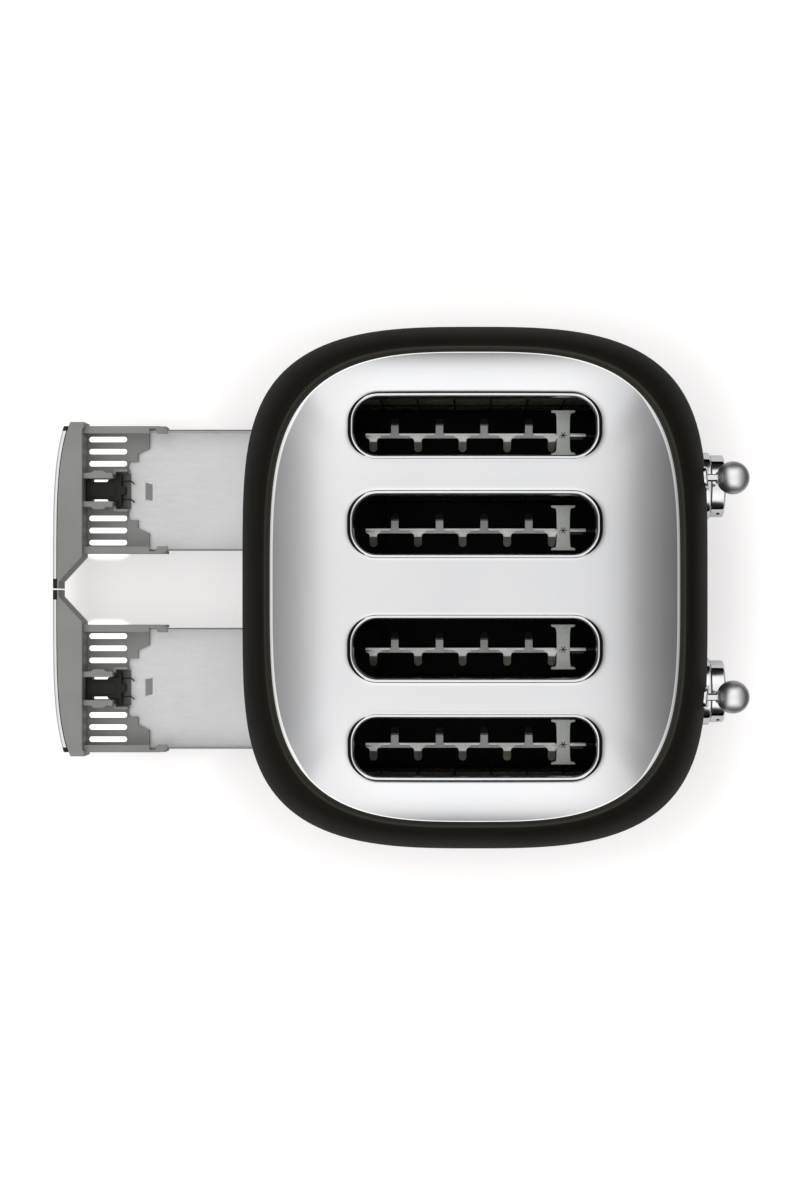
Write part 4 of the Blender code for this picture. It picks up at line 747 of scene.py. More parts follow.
for end_name, end in (("front", 1), ("rear", -1)):
    for name, side in SIDES:
        node = "foot_%s_%s" % (end_name, name)
        piece(node + "_pad", [spun(FOOT, (end * 0.093, side * 0.112, 0), "z")], rubber, "housing",
              [node])
ribs = [pressed([oval(0.052, 0.0035, 0.0017, 4, (0, side * 0.062 + row))], 0.0052, 0.0061)
        for _, side in SIDES for row in np.linspace(-0.045, 0.045, 9)]
screws = [spun(SCREW, (end * 0.112, side * 0.085, 0), "z", 24) for end in (-1, 1) for _, side in SIDES]
piece("underside_ribs_and_screws", ribs + screws, base_plastic, "housing")


# The chassis under the cover: two upright steel plates, six mica sheets wound with flat heating
# ribbon, and eight welded wire grids that close on the bread as the lift goes down.
HEATER_STEP = 0.02865
OUTER_HEATER_INSET = 0.0037
RIBBON_HALF = 0.0007
GUIDE_REST = 0.0194
GUIDE_XS = -0.0568 + 0.02215 * np.arange(6)
GUIDE_RODS = ((0.0745, 0.0880), (0.167, 0.0880), (0.070, 0.0740), (0.121, 0.0740))


def sheet_metal_paint(dark, light, roughness):
    """Paint for bare or stained steel, with roll marks drawn out along Z."""
    def paint(place):
        roll = place.grain(500.0, 2.0, (1, 1, 0.04))
        stain = place.grain(22.0, 4.0)
        return {
            "Base Color": (stain * 0.7 + roll * 0.3).between(0.35, 0.65).tint(dark, light),
            "Roughness": roughness + roll * 0.12,
            "Height": (roll, 0.000015),
        }
    return paint


def sheet_metal(name, *looks):
    """A bare metal finish from its darkest and lightest colour and its roughness."""
    return finish(name, {"Metallic": 1.0}, sheet_metal_paint(*looks))


def mica_paint(place):
    flake = place.grain(160.0, 4.0)
    return {
        "Base Color": flake.between(0.35, 0.65).tint((0.74, 0.74, 0.62), (0.92, 0.92, 0.80)),
        "Roughness": 0.45 + flake * 0.2,
        "Height": (flake, 0.00004),
    }


def tube(path, radius, normal, sides=6):
    """A round wire along a path whose bends lie across a fixed normal, or a normal for each point."""
    path = np.asarray(path, float)
    tangent = np.gradient(path, axis=0)
    tangent /= np.linalg.norm(tangent, axis=1)[:, None]
    lift = np.broadcast_to(np.asarray(normal, float), path.shape)
    aside = np.cross(tangent, lift)
    aside /= np.linalg.norm(aside, axis=1)[:, None]
    across, up = np.cos(turns(sides))[None, :, None], np.sin(turns(sides))[None, :, None]
    return capped(path[:, None] + radius * (across * aside[:, None] + up * lift[:, None]))


def block(low, high):
    """A plain box with its six sides, for welds, lugs and other small square work."""
    low, high = np.minimum(low, high), np.maximum(low, high)
    corners = np.array([(x, y, z) for x in (0, 1) for y in (0, 1) for z in (0, 1)])
    return low + corners * (high - low), [[0, 1, 3, 2], [4, 6, 7, 5], [0, 4, 5, 1], [2, 3, 7, 6], [0, 2, 6, 4],
                                          [1, 5, 7, 3]]


chassis_steel = sheet_metal("chassis_steel", (0.16, 0.155, 0.15), (0.24, 0.235, 0.23), 0.34)
# Nearly black wire, for the guide grids, the rack arms and the lever stems
dark_wire = sheet_metal("near_black_wire", (0.018, 0.017, 0.015), (0.045, 0.042, 0.038), 0.42)
mica = finish("mica_sheet", {}, mica_paint)
ribbon_alloy = sheet_metal("heating_ribbon", (0.05, 0.045, 0.04), (0.10, 0.09, 0.08), 0.40)
coat(chassis_steel, "front_frame_plate", "rear_frame_plate")
for name, side in SIDES:
    for number in range(3):
        node = "heater_panel_%s_%d" % (name, number + 1)
        inwards = OUTER_HEATER_INSET if number == 2 else 0
        y = side * (SLOT_YS[0] + HEATER_STEP * (2 * number - 1) - inwards)
        sheet = pressed([oval(0.1694, 0.138, 0.002, 3, (0, 0.109))], y - 0.00035, y + 0.00035, 0.0001, "xz")
        rounds = [(height - RIBBON_HALF, height + RIBBON_HALF) for height in np.linspace(0.050, 0.170, 13)]
        ribbons = [block((-0.078, y + face * 0.0005 - 0.0001, low), (0.078, y + face * 0.0005 + 0.0001, high))
                   for low, high in rounds for face in (-1, 1)]
        welds = [block((end * 0.0775, y - 0.0006, low), (end * 0.0785, y + 0.0006, high))
                 for low, high in rounds for end in (1, -1)]
        piece(node + "_sheet", [sheet], mica, "housing", [node])
        piece(node + "_ribbon", ribbons + welds, ribbon_alloy, "housing")
for name, side in SIDES:
    for number, slot_y in enumerate(SLOT_YS):
        for letter, sign in (("a", -1), ("b", 1)):
            y = side * slot_y + sign * GUIDE_REST
            wires = [tube([(along, y, height) for height in (0.0665, 0.12, 0.1755)], 0.0007, (0, 1, 0))
                     for along in GUIDE_XS]
            wires += [tube([(along, y, height) for along in (-reach, 0, reach)], 0.0008, (0, 1, 0))
                      for height, reach in GUIDE_RODS]
            node = "guide_%s_%d_%s" % (name, number + 1, letter)
            piece(node + "_grid", wires, dark_wire, "guides_%s_%s" % (name, letter), [node])


# The lift: in each slot a toothed rack of stamped steel with a cross strap. Two racks share a
# carriage, which has a flat lever with bright edges and hangs from a coil spring.
RACK_OFFSET = -0.0016
RACK_TOP = 0.1555
RACK_SHEET = 0.0013
RACK_END = 0.0484
TOOTH_PITCH = 0.0269
TOOTH_HALF = 0.00235
STRAP_X = 0.0532
STRAP_FLANK = mm([(7.3, -13.6), (7, -12.2), (4.6, -11.6), (4.15, -9), (4, 0), (4.15, 9), (4.6, 11.6), (7, 12.2),
                  (7.3, 13.6)])
LEVER_Z = 0.152
CARRIAGE_X = 0.093
BAR = (0.1290, 0.1460)
BALL_X = 0.1558
BALL_RADIUS = 0.0100
BALL_NECK = 0.0036
RIVET = mm([(0, 2.6), (1.2, 2.5), (2, 1.9), (2.2, 0), (0, 0)])
SPRING_X = 0.100
SPRING_TOP = 0.1812
SPRING_TURNS = 8


def square(low_x, high_x, low_y, high_y):
    """Outline of a square-cornered plate."""
    return [(low_x, low_y), (high_x, low_y), (high_x, high_y), (low_x, high_y)]


def raised(part, height):
    """A part's corners shifted up, with its faces as they were."""
    return part[0] + (0, 0, height), part[1]


def tooth(x, y, sense, reach, bend, fall, root):
    """One tooth of a rack. Its half width flares to the root and closes in a half circle at the tip,
    and it runs level, but for a slight slope, up to a bend and falls steeply beyond it."""
    out = reach * np.linspace(0, 1, 30)
    half = TOOTH_HALF + root * np.exp(-(np.maximum(out - 0.0006, 0) / 0.0011) ** 2)
    tip = np.clip((out - (reach - TOOTH_HALF)) / TOOTH_HALF, 0, 0.999)
    half = half * np.sqrt(1 - tip ** 2)
    level = RACK_TOP - fall * out - 0.7 * np.maximum(out - bend, 0)
    section = np.array([(-1, 0), (-0.93, 0.00012), (0.93, 0.00012), (1, 0), (1, -1), (-1, -1)])
    rise = np.where(section[:, 1] < 0, -0.0009, section[:, 1] - 0.00012)
    return capped(grid(x + half[:, None] * section[:, 0], y + sense * out[:, None], level[:, None] + rise))


def rack_paint(place):
    streak = place.grain(420.0, 2.0, (0.1, 1, 1))
    return {
        "Base Color": place.grain(90.0, 3.0).between(0.35, 0.7).tint((0.50, 0.50, 0.48), (0.66, 0.66, 0.645)),
        "Roughness": 0.30 + streak * 0.12,
        "Height": (streak, 0.00002),
    }


def tooth_paint(place):
    """Stained steel, with painted shade where a tooth has fallen below the rack's top: darker there."""
    marks = sheet_metal_paint((0.30, 0.30, 0.29), (0.42, 0.42, 0.41), 0.40)(place)
    # Painted shade: what lies below the rack's top, down into the slot, is coloured nearly black
    level = place.axis(2).between(RACK_TOP - 0.0010, RACK_TOP - 0.0004)
    marks["Base Color"] = level.tint((0.05, 0.048, 0.044), marks["Base Color"])
    return marks


def ball_paint(place):
    """Satin chrome, with painted shade below the ball's crown: darker there."""
    marks = plated_paint((0.93, 0.93, 0.935), (0.97, 0.97, 0.975), 0.34, 90.0, 150.0)(place)
    # Painted shade: the colour darkens from the crown down, which rounds the ball's highlight
    above = (place.axis(2) - LEVER_Z) * (1 / BALL_RADIUS)
    marks["Base Color"] = above.between(0.45, 0.95).tint(0.62, marks["Base Color"])
    marks["Roughness"] = marks["Roughness"] + 0.06
    return marks


rack_steel = finish("rack_steel", {"Metallic": 1.0}, rack_paint)
strap_steel = sheet_metal("strap_steel", (0.42, 0.44, 0.41), (0.56, 0.58, 0.55), 0.38)
tooth_steel = finish("tooth_steel", {"Metallic": 1.0}, tooth_paint)
# Dark finish for the knob's index mark, and painted shade in the grooves of each strap's staked rivet
dark_paint = plastic("dark_marking_and_stake_shade", 0.008, 0.014, {"Roughness": 0.5})
ball_chrome = finish("ball_chrome", {"Metallic": 1.0}, ball_paint)
waist = np.roll(np.concatenate([STRAP_FLANK, STRAP_FLANK[::-1] * (-1, 1)]), 1, 0)
for name, side in SIDES:
    lift = "lift_" + name
    for number, slot_y in enumerate(SLOT_YS):
        middle = side * slot_y
        y = middle + RACK_OFFSET
        node = "bread_rack_%s_%d" % (name, number + 1)
        web = [pressed([square(-0.0660, RACK_END, y - 0.0003, y + 0.0012)], RACK_TOP - RACK_SHEET, RACK_TOP),
               block((-0.0646, y - 0.0007, RACK_TOP - 0.0070), (0.0668, y + 0.0007, RACK_TOP - 0.0010)),
               pressed([square(0.057, 0.0668, y + 0.0006, y + 0.0012)], RACK_TOP - 0.0020, RACK_TOP - 0.0006)]
        web += [tooth(-0.0613 + step * TOOTH_PITCH, y - 0.0002, -1, 0.0096, 0.0038, 0.02, 0.0026)
                for step in range(5)]
        end_lug = [(0.0575, y - 0.0026), (0.0650, y - 0.0026), (0.0655, y - 0.0020), (0.0655, y - 0.0006),
                   (0.0575, y - 0.0006)]
        back_web = square(-0.0655, RACK_END, y - 0.0019, y - 0.0001)
        # Parts in tooth steel, with painted shade below the rack's top
        parts_with_painted_shade = [pressed([back_web], RACK_TOP - RACK_SHEET, RACK_TOP - 0.0003),
                pressed([end_lug], RACK_TOP - 0.0028, RACK_TOP - 0.0012)]
        parts_with_painted_shade += [raised(tooth(-0.0483 + step * TOOTH_PITCH, y - 0.0017, 1, 0.0122, 0.0076, 0.05, 0.0023), 0.0004)
                 for step in range(4)]
        arm = block((0.0640, y - 0.0007, RACK_TOP - 0.0070), (0.0927, y + 0.0007, RACK_TOP - 0.0035))
        strap = [pressed([waist + (STRAP_X, middle)], RACK_TOP - 0.0019, RACK_TOP - 0.0003)]
        strap += [pressed([oval(0.0146, 0.0012, 0.0003, 3, (STRAP_X, middle + end * 0.0130))], RACK_TOP - 0.0055,
                          RACK_TOP - 0.0004, 0.0001) for end in (-1, 1)]
        # Painted shade: the staked rivet's star is raised in dark tubes that stand for the shade in its grooves
        star = [tube([(STRAP_X + np.cos(angle) * reach, y + np.sin(angle) * reach, RACK_TOP - 0.00045)
                      for reach in (-0.0021, 0, 0.0021)], 0.00035, (0, 0, 1)) for angle in np.radians((0, 58, 122))]
        piece(node + "_web", web, rack_steel, lift, [node], sharp=20)
        piece(node + "_teeth", parts_with_painted_shade, tooth_steel, lift, sharp=20)
        piece(node + "_arm", [arm], dark_wire, lift)
        piece(node + "_strap", strap, strap_steel, lift, sharp=20)
        piece(node + "_stake", star, dark_paint, lift)

for name, side in SIDES:
    lift = "lift_" + name
    y = side * LEVER_Y
    racks = sorted(side * slot_y + RACK_OFFSET for slot_y in SLOT_YS)
    plate = oval(racks[1] - racks[0] + 0.012, 0.018, 0.002, 5, (sum(racks) / 2, LEVER_Z))
    eyes = [oval(0.006, 0.006, 0.0029, 6, (y + off, LEVER_Z)) for off in (-0.016, 0.016)]
    carriage = [pressed([plate] + eyes, CARRIAGE_X, CARRIAGE_X + 0.002, 0.0003, "yz"),
                pressed([oval(0.0125, 0.010, 0.0025, 5, (CARRIAGE_X + 0.0058, y))], LEVER_Z + 0.007, LEVER_Z + 0.009,
                        0.0003)]
    carriage += [spun(RIVET, (CARRIAGE_X + 0.0015, rack_y, LEVER_Z), "x", 16) for rack_y in racks]
    piece("lift_carriage_%s_plate" % name, carriage, chassis_steel, lift, ["lift_carriage_" + name],
          sharp=20)
    stem = pressed([oval(0.0042, 0.0084, 0.0012, 5, (y, LEVER_Z))], CARRIAGE_X + 0.001, BAR[1], 0.0004, "yz")
    bar_length, bar_middle = BAR[1] - BAR[0], (BAR[0] + BAR[1]) / 2
    edges = [pressed([oval(bar_length, 0.0028, 0.0002, 3, (bar_middle, y))], LEVER_Z + 0.0030, LEVER_Z + 0.0044,
                     0.0001)]
    edges += [pressed([oval(bar_length, 0.00115, 0.0002, 3, (bar_middle, y + flank * 0.00088))], LEVER_Z + 0.0040,
                      LEVER_Z + 0.0049) for flank in (-1, 1)]
    piece("lever_bar_%s_plate" % name, [stem], dark_wire, lift, sharp=20)
    piece("lever_bar_%s_edges" % name, edges, chrome, lift, sharp=20)

    angle = np.linspace(0, math.pi - math.asin(BALL_NECK / BALL_RADIUS), 60)
    ball = np.stack([BALL_RADIUS * np.sin(angle), BALL_RADIUS * np.cos(angle)], 1)
    ball = np.concatenate([ball, mm([(3.6, -9.7), (3.4, -9.9), (3.4, -10.2), (0, -10.2)])])
    piece("lever_ball_" + name, [spun(ball, (BALL_X, y, LEVER_Z), "x", 96)], ball_chrome, lift,
          ["lever_knob_" + name])

    coil_low, coil_high = LEVER_Z + 0.0093, SPRING_TOP
    share = np.linspace(0, 1, SPRING_TURNS * 24 + 1)
    turn = share * SPRING_TURNS * 2 * math.pi
    rise = coil_low + 0.0005 + (coil_high - coil_low - 0.0010) * (share + 0.03 * np.sin(2 * math.pi * share))
    outward = np.stack([np.cos(turn), np.sin(turn), 0 * turn], 1)
    helix = (SPRING_X, y, 0) + 0.0027 * outward + rise[:, None] * (0, 0, 1)
    spring = piece("lift_spring_%s_coil" % name, [tube(helix, 0.00045, outward)], chassis_steel, None,
                   ["lift_spring_" + name])
    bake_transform(spring)


# The holding magnets: each a steel yoke folded round a bobbin of enamelled copper wire.
MAGNET = (0.0865, 0.1000, 0.0667, 0.0847)
WINDING = mm([(3, 2), (4.8, 2.1), (4.9, 9), (4.8, 15.9), (3, 16)])


def copper_paint(place):
    strand = place.grain(200.0, 2.0, (1, 1, 0.2))
    return {
        "Base Color": strand.between(0.3, 0.7).tint((0.30, 0.10, 0.035), (0.42, 0.16, 0.06)),
        "Roughness": 0.30 + place.grain(300.0) * 0.1,
        "Height": (place.node("TexWave", {"bands_direction": "Z"}, {"Vector": place, "Scale": 900.0}), 0.0001),
    }


copper = finish("copper_winding", {"Metallic": 1.0}, copper_paint)
back, front, low, high = MAGNET
for name, side in SIDES:
    y = side * LEVER_Y
    yoke = [pressed([oval(0.014, 0.018, 0.001, 4, (y, (low + high) / 2))], back, back + 0.0016, plane="yz"),
            block((back, y - 0.005, high - 0.0016), (front - 0.0010, y + 0.005, high)),
            block((back, y - 0.005, low), (front - 0.0010, y + 0.005, low + 0.0016))]
    piece("holding_magnet_%s_yoke" % name, yoke, chassis_steel, "housing",
          ["holding_magnet_" + name])
    winding = spun(WINDING, ((back + front) / 2 + 0.0007, y, low), "z", 32, True)
    piece("holding_magnet_%s_winding" % name, [winding], copper, "housing")


# The bright frames round the lever slots: plated castings bent to the body's front, with a
# rounded face that stands about two millimetres proud.
FRAME_SIDE = 0.0038
FRAME_LIP = 0.0008
FRAME_PROUD = 0.0021
CLEARANCE = 0.0003
half = (slot_high - slot_low - slot_width) / 2
arc, straight = np.linspace(0, math.pi, 25), np.linspace(1, -1, 26)[1:-1] * half
angle = np.concatenate([arc, np.full(24, math.pi), arc + math.pi, np.full(24, 2 * math.pi)])
along = np.concatenate([np.full(25, half), straight, np.full(25, -half), straight[::-1]])
bulge = np.linspace(0, math.pi, 15)
offset = np.concatenate([[0.0], FRAME_SIDE * (1 - np.cos(bulge)) / 2, [FRAME_SIDE]])
height = np.concatenate([[0.0], FRAME_LIP + (FRAME_PROUD - FRAME_LIP) * np.sin(bulge) ** 0.7, [0.0]])
reach = slot_width / 2 + offset[:, None]
for name, side in SIDES:
    across, up = side * LEVER_Y + reach * np.cos(angle), slot_middle + along + reach * np.sin(angle)
    surround = grid(body_front(across, up) + CLEARANCE + height[:, None], across, up)
    piece("lever_surround_" + name, [skin(surround, ring=True)], chrome, "housing",
          ["lever_frame_" + name])


# The browning controls: a plated bezel cup seated on the body, a round plated knob in it that
# turns on a steel shaft and presses to cancel, and three small push buttons on an arc beside it.
KNOB_BACK = 0.1511
KNOB_RADIUS = 0.0200
GRIP = mm([(3.3, 0), (19.5, 0), (20, 0.3), (20, 7.6), (19.85, 8.2), (19.4, 8.7), (18.8, 8.9), (18.1, 8.85),
           (17.7, 8.6), (16.8, 8.3), (12, 8.1), (6, 8.05), (0, 8.05), (0, 4.5), (3.3, 4.5)])
CUP_FLOOR = mm([(20.4, 150.6), (20.3, 150), (20.3, 148.9), (10, 148.9), (3.4, 148.9)])
SEAT_RADII = mm([3.4, 12, 19, 20, 20.6])
BUTTON_BACK = 0.1214
turn, dot_turn = turns(96), turns(28)
bead = np.linspace(-math.pi / 2, math.pi / 2, 15)
cup_wall = np.stack([0.0206 + 0.0012 * np.cos(bead) ** 0.35, 0.1475 + 0.0032 * np.sin(bead)], 1)
cup_radius, cup_x = np.concatenate([cup_wall, CUP_FLOOR]).T[:, :, None]
# The index on the knob's flank: a dot whose rim bends down into the metal
spread = np.array([[0.0], [0.4], [0.8], [1.0], [1.0]])
dot_angle = math.radians(180 - 25) + spread * 0.078 * np.sin(dot_turn)
dot_x = KNOB_BACK + 0.0049 + spread * 0.00110 * np.cos(dot_turn)
dot_r = KNOB_RADIUS + mm([[0.12], [0.12], [0.11], [0.06], [-0.3]])
for name, side in SIDES:
    y = side * LEVER_Y
    knob = "browning_knob_" + name
    seat_y, seat_z = y + SEAT_RADII[:, None] * np.cos(turn), CONTROL_Z + SEAT_RADII[:, None] * np.sin(turn)
    seat = grid(body_front(seat_y, seat_z) + CLEARANCE, seat_y, seat_z)
    cup = grid(cup_x, y + cup_radius * np.cos(turn), CONTROL_Z + cup_radius * np.sin(turn))
    piece("bezel_cup_" + name, [skin(np.concatenate([seat, cup]), ring=True)], chrome, "housing",
          ["control_bezel_" + name])
    piece(knob + "_grip", [spun(GRIP, (KNOB_BACK, y, CONTROL_Z), "x", 128, True)], chrome, knob,
          [knob])
    dot = grid(dot_x, y + dot_r * np.cos(dot_angle), CONTROL_Z + dot_r * np.sin(dot_angle))
    pointer = pressed([oval(0.0062, 0.0010, 0.0005, 4, (y - 0.0125, CONTROL_Z))], 0.15910, 0.15935, 0.00005, "yz")
    piece(knob + "_index", [skin(dot), pointer], dark_paint, knob)
    coat(chassis_steel, "control_shaft_" + name)
    for number, (at_y, at_z) in enumerate(button_places(side)):
        tall = float(body_front(at_y, at_z)) + 0.0018 - BUTTON_BACK
        cap = [(0, 0), (0.0038, 0), (0.0040, 0.0002), (0.0040, tall - 0.0006), (0.0038, tall - 0.0001),
               (0.0034, tall), (0.0030, tall - 0.00005), (0.0015, tall - 0.0003), (0, tall - 0.0004)]
        node = "function_button_%s_%d" % (name, number + 1)
        piece(node + "_cap", [spun(cap, (BUTTON_BACK, at_y, at_z), "x", 32)], chrome, node, [node])


# The control board behind the front: a lacquered glass-fibre board, in one solid with its posts, with
# a transformer, two relays, two low boxes and four capacitors on it.
BOARD_BACK = 0.1176
# Across, up, width, height and depth of each box on the board, and the cans' profile and places
BOXES = mm([(0, 61, 22, 20, 14), (24, 52, 12, 10, 9), (-24, 52, 12, 10, 9), (26, 68, 16, 6, 3), (-26, 68, 16, 6, 3)])
CAN = mm([(0, 0), (3, 0), (3, 9.8), (2.6, 10.2), (0, 10.2)])
CAN_YS = (-0.044, -0.036, 0.036, 0.044)


def board_paint(place):
    trace = place.grain(240.0, 0.0, (1, 1, 0.15))
    return {
        "Base Color": trace.between(0.52, 0.56).tint((0.020, 0.075, 0.035), (0.045, 0.14, 0.06)),
        "Roughness": 0.35 + trace * 0.1,
        "Height": (trace.between(0.52, 0.56), 0.00003),
    }


coat(finish("board_lacquer", {}, board_paint), "control_board")
components = [pressed([oval(wide, tall, 0.0008, 3, (across, up))], BOARD_BACK - deep, BOARD_BACK + 0.0002, 0.0003,
                      "yz") for across, up, wide, tall, deep in BOXES]
components += [spun(CAN, (0.1076, across, 0.048), "x", 20) for across in CAN_YS]
piece("board_components", components, base_plastic, "housing")


# The crumb trays: each a grey moulded front with a bright strip, air slots and side rails, a
# black catch in a sprung cage, and a bare pressed-steel pan clipped to it.
STRIP_X = -0.2790
STRIP_ENDS = (0.0069, 0.1045)
TRAY_Y = 0.0657
TRAY_LOW = 0.0116
BLOCK_TOP = 0.0334
PLATE_LOW = 0.0127
PAD_TOP = 0.0153
RAIL_TOP = 0.0278
CATCH_LOW, CATCH_TOP = 0.0150, 0.0215
PAN_START, PAN_END, PAN_HALF, PAN_TOP = 0.0470, 0.2195, 0.0400, 0.0260
PAN_SHEET = 0.0008
PAN_FOLD = 0.0014
# Outlines behind the strip and across: the block's from the body's middle, and the others from
# the tray's middle, positive outwards
BLOCK_BACK = mm([(21.2, 110.3), (21.2, 106.8), (20, 105.6), (20, 21.4), (4.6, 4.8), (4.6, 0.4)])
PAD = mm([(46.8, 12), (48, 19.5), (49.1, 19.5), (54, 19.5), (54, 24.8), (61.6, 28.3), (61.6, 38.7), (46.8, 38.7)])
LIP = mm([(19, 37.4), (63.6, 37.4), (63.6, 40.6), (67.2, 40.6), (68.8, 37.2), (75.5, 37.2), (75.7, 39.4),
          (73.5, 41.4), (70.5, 42.3), (19, 42.3)])
ARM = mm([(19, 7.6), (39.5, 7.6), (39.5, 11), (38.5, 11.4), (35, 11.4), (33.2, 12.8), (26.8, 12.8), (25, 11.3),
          (19, 11.3)])
HOOK = mm([(38.6, 10.4), (40.2, 10.4), (40.4, 12.4), (48.2, 12.4), (48.2, 14.1), (39.4, 14.1), (38.6, 13.4)])
CATCH_FLANK = mm([(20.5, -7.1), (24.4, -7.1), (24.7, -5.7), (34.5, -5.7), (35.2, -7.1), (42.2, -7.1), (42.2, -10.3),
                  (44, -10.3), (44, -3.2), (46.7, -2.2)])
CATCH_OUTLINE = np.concatenate([CATCH_FLANK, CATCH_FLANK[::-1] * (1, -1)])
PRONG = mm([(43.5, 0, 17.2), (46, 0.2, 17.3), (48.5, 0.5, 17.2), (50, 0.1, 16.8), (51.2, -1, 16), (51.6, -1.9, 15.4)])
TAB = mm([(58.7, -5.6), (63.2, -6.4), (63.2, 4.6), (58.7, 5.6)])
# Sections across the strip, of (distance behind its face, height above the band's lower edge)
STRIP_SECTION = mm([(2.5, 0), (1.2, 0), (0.4, 0.4), (0, 1.4), (-0.2, 6), (-0.2, 12), (0, 16.6), (0.4, 17.6),
                    (1.2, 18), (2.5, 18)])
SEAL_SECTION = mm([(2.4, 0.4), (3.6, 0.4), (3.6, 17.6), (2.4, 17.6)])


def tray_edge(inset, across):
    """Distance behind the strip of the tray's curved front, which follows the bright band."""
    bow = (1 - (abs(across) / (BAND_Y - inset)) ** BAND_POWER) ** (1 / BAND_POWER)
    return BAND_X - (BAND_X - inset) * bow


def on_tray(outline, side, flank=1):
    """An outline set down on a tray, turned over across the tray by a flank of -1."""
    behind, across = np.asarray(outline, float).T
    return np.stack([STRIP_X + behind, side * (TRAY_Y + flank * across)], 1)


def tray_block(low, high, across, side):
    """A box on a tray between two distances behind the strip and two across it, and two heights."""
    return block((STRIP_X + low[0], side * (TRAY_Y + across[0]), low[1]),
                 (STRIP_X + high[0], side * (TRAY_Y + across[1]), high[1]))


def front_strip(side, start, end, count, section):
    """A section carried along the tray's curved front between two places across."""
    across = np.linspace(start, end, count)[:, None]
    return capped(grid(STRIP_X + tray_edge(section[:, 0], across), side * across, BAND_LOW + section[:, 1]))


def pan_wall(side, flank):
    """A side wall of the pan: its section bends up from the floor by a quarter circle."""
    bend = np.linspace(0, math.pi / 2, 6)
    quarter = np.stack([np.sin(bend), -np.cos(bend)], 1)
    fold = np.array((PAN_HALF - PAN_FOLD, TRAY_LOW + PAN_FOLD))
    wall = np.concatenate([[(PAN_HALF - 0.0016, TRAY_LOW)], fold + PAN_FOLD * quarter,
                           [(PAN_HALF, PAN_TOP), (PAN_HALF - PAN_SHEET, PAN_TOP)],
                           fold + (PAN_FOLD - PAN_SHEET) * quarter[::-1],
                           [(PAN_HALF - 0.0016, TRAY_LOW + PAN_SHEET)]])
    rows = np.array([[PAN_START], [PAN_END]])
    return capped(grid(STRIP_X + rows, side * (TRAY_Y + flank * wall[:, 0]), wall[:, 1]))


def pan_paint(place):
    """Bare steel, dark on its sheared rim. Painted light makes it brighter towards the body, and painted
    shade makes its inner end, under the body, nearly black.
    """
    mottle = place.grain(420.0, 5.0)
    cloud = place.grain(14.0, 3.0)
    streak = place.grain(330.0, 3.0, (0.25, 1, 1))
    clean = (cloud * 0.55 + streak * 0.25 + mottle * 0.2).between(0.38, 0.62).tint((0.685, 0.685, 0.68),
                                                                                   (0.76, 0.76, 0.77))
    # Painted light: brighter towards the body, against the shade of the body's overhang
    painted_light_near_body = (place.axis(0) + cloud * 0.02).between(MIDDLE - 0.200, MIDDLE - 0.120, 0.0, 0.7)
    clean = painted_light_near_body.tint(clean, (0.93, 0.93, 0.94))
    sheared = place.axis(2).between(0.0246, 0.0254).tint(clean, (0.20, 0.195, 0.19))
    # Painted shade: nearly black at the inner end, which lies in shade under the body
    painted_shade_inner_end = (place.axis(0) + cloud * 0.012).between(MIDDLE - 0.094, MIDDLE - 0.078)
    return {
        "Base Color": painted_shade_inner_end.tint(sheared, (0.012, 0.010, 0.008)),
        "Roughness": 0.40 + mottle * 0.12,
        "Metallic": cloud.between(0.2, 0.8, 0.72, 0.82),
        "Height": (mottle, 0.00004),
    }


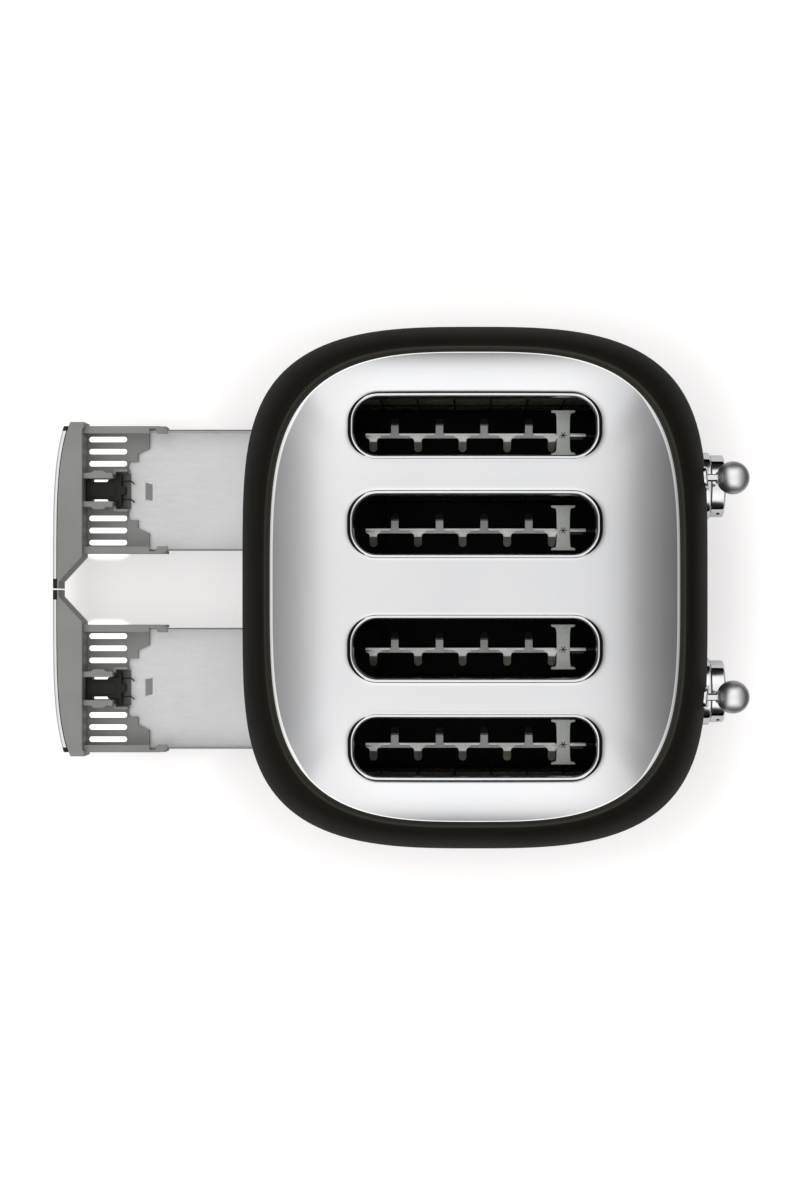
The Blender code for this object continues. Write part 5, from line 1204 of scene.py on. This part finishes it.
tray_plastic = plastic("tray_plastic", (0.30, 0.30, 0.285), (0.335, 0.335, 0.32), {"Specular IOR Level": 0.35})
latch_plastic = plastic("latch_plastic", (0.012, 0.0115, 0.010), (0.018, 0.017, 0.015),
                        {"Specular IOR Level": 0.3})
shadow_plastic = plastic("tray_shadow_plastic", (0.125, 0.120, 0.102), (0.150, 0.144, 0.124))
pan_steel = finish("pan_steel", {}, pan_paint)
for name, side in SIDES:
    tray = "tray_" + name
    span = np.linspace(0.0004, 0.1103, 60)
    face = np.stack([STRIP_X + tray_edge(0.0034, span), side * span], 1)
    parts = [pressed([np.concatenate([face, BLOCK_BACK * (1, side) + (STRIP_X, 0)])], TRAY_LOW, BLOCK_TOP, 0.0005)]
    vents = [oval(0.0253, 0.0036, 0.00175, 6, (STRIP_X + 0.0338, side * (TRAY_Y + flank * (0.01825 + row * 0.0081))))
             for flank in (1, -1) for row in range(3)]
    vents += [oval(0.0102, 0.0020, 0.0004, 3, (STRIP_X + 0.0296, side * (TRAY_Y + flank * 0.0066)))
              for flank in (1, -1)]
    plate = on_tray(square(0.019, 0.0471, 0.0405, -0.0405), side)
    parts.append(pressed([plate] + vents, PLATE_LOW, PLATE_LOW + 0.0011, 0.0001))
    for flank in (1, -1):
        parts += [pressed([on_tray(PAD, side, flank)], PLATE_LOW, PAD_TOP),
                  tray_block((0.0190, TRAY_LOW), (0.0744, RAIL_TOP - 0.0007), (flank * 0.0403, flank * 0.0421), side),
                  pressed([on_tray(LIP, side, flank)], RAIL_TOP - 0.0014, RAIL_TOP, 0.0003),
                  pressed([on_tray(ARM, side, flank)], PLATE_LOW + 0.0003, 0.0300, 0.0004),
                  pressed([on_tray(HOOK, side, flank)], PLATE_LOW + 0.0003, 0.0222)]
    piece("tray_front_" + name, parts, tray_plastic, tray, ["tray_frame_" + name], sharp=20)
    # Painted shadow: a dark plate under the catch, where the tray front lies in shade
    seat = pressed([on_tray(square(0.0400, 0.0490, -0.0118, 0.0118), side)], PLATE_LOW + 0.0002, PLATE_LOW + 0.0016,
                   0.0001)
    piece("tray_catch_seat_" + name, [seat], shadow_plastic, tray)

    ridge = square(0.0235, 0.0400, -0.0044, 0.0044)
    catch = [pressed([on_tray(CATCH_OUTLINE, side)], CATCH_LOW, CATCH_TOP, 0.0004),
             pressed([on_tray(ridge, side)], CATCH_TOP - 0.0003, CATCH_TOP + 0.0003)]
    catch += [tube(PRONG + (STRIP_X, side * TRAY_Y + flank * 0.0061, 0), 0.00045, (0, 0, 1), 8) for flank in (1, -1)]
    piece("tray_catch_" + name, catch, latch_plastic, tray, ["tray_latch_" + name], sharp=20)

    floor = square(PAN_START, PAN_END, PAN_FOLD - PAN_HALF, PAN_HALF - PAN_FOLD)
    hole = square(0.0585, 0.0652, -0.0066, 0.0066)
    pan = [pressed([on_tray(floor, side), on_tray(hole, side)], TRAY_LOW, TRAY_LOW + PAN_SHEET, 0.0001)]
    pan += [pan_wall(side, flank) for flank in (-1, 1)]
    pan.append(tray_block((PAN_END - PAN_SHEET, TRAY_LOW), (PAN_END, PAN_TOP),
                          (PAN_SHEET - PAN_HALF, PAN_HALF - PAN_SHEET), side))
    piece("tray_pan_%s_sheet" % name, pan, pan_steel, tray, ["tray_pan_" + name], sharp=20)
    tab = pressed([on_tray(TAB, side)], TRAY_LOW - 0.0002, TRAY_LOW + 0.0005, 0.0001)
    piece("tray_pan_%s_tab" % name, [tab], tray_plastic, tray)

    piece("tray_strip_%s_face" % name, [front_strip(side, *STRIP_ENDS, 60, STRIP_SECTION)], chrome, tray,
          ["tray_strip_" + name])
    ends = [front_strip(side, 0.0005, STRIP_ENDS[0], 6, STRIP_SECTION),
            front_strip(side, STRIP_ENDS[1], 0.1077, 6, STRIP_SECTION),
            front_strip(side, *STRIP_ENDS, 60, SEAL_SECTION)]
    piece("tray_strip_%s_ends" % name, ends, latch_plastic, tray)


# The cord gland: a moulded rubber grommet through the middle of the back, with its flange inside
# the body, its ringed neck standing out of it, and a bore for the cord.
GLAND_X = -0.1295
GLAND = mm([(3.4, 17), (4.3, 17), (5, 16.6), (5, 15), (4.6, 14.6), (5, 14.2), (5, 2), (8, 1.8), (8, 0.2), (7.8, 0),
            (3.4, 0)]) * (1, -1)
piece("cord_gland_grommet", [spun(GLAND, (GLAND_X, 0, GLAND_Z), "x", 48, True)], rubber, "housing",
      ["cord_gland"])
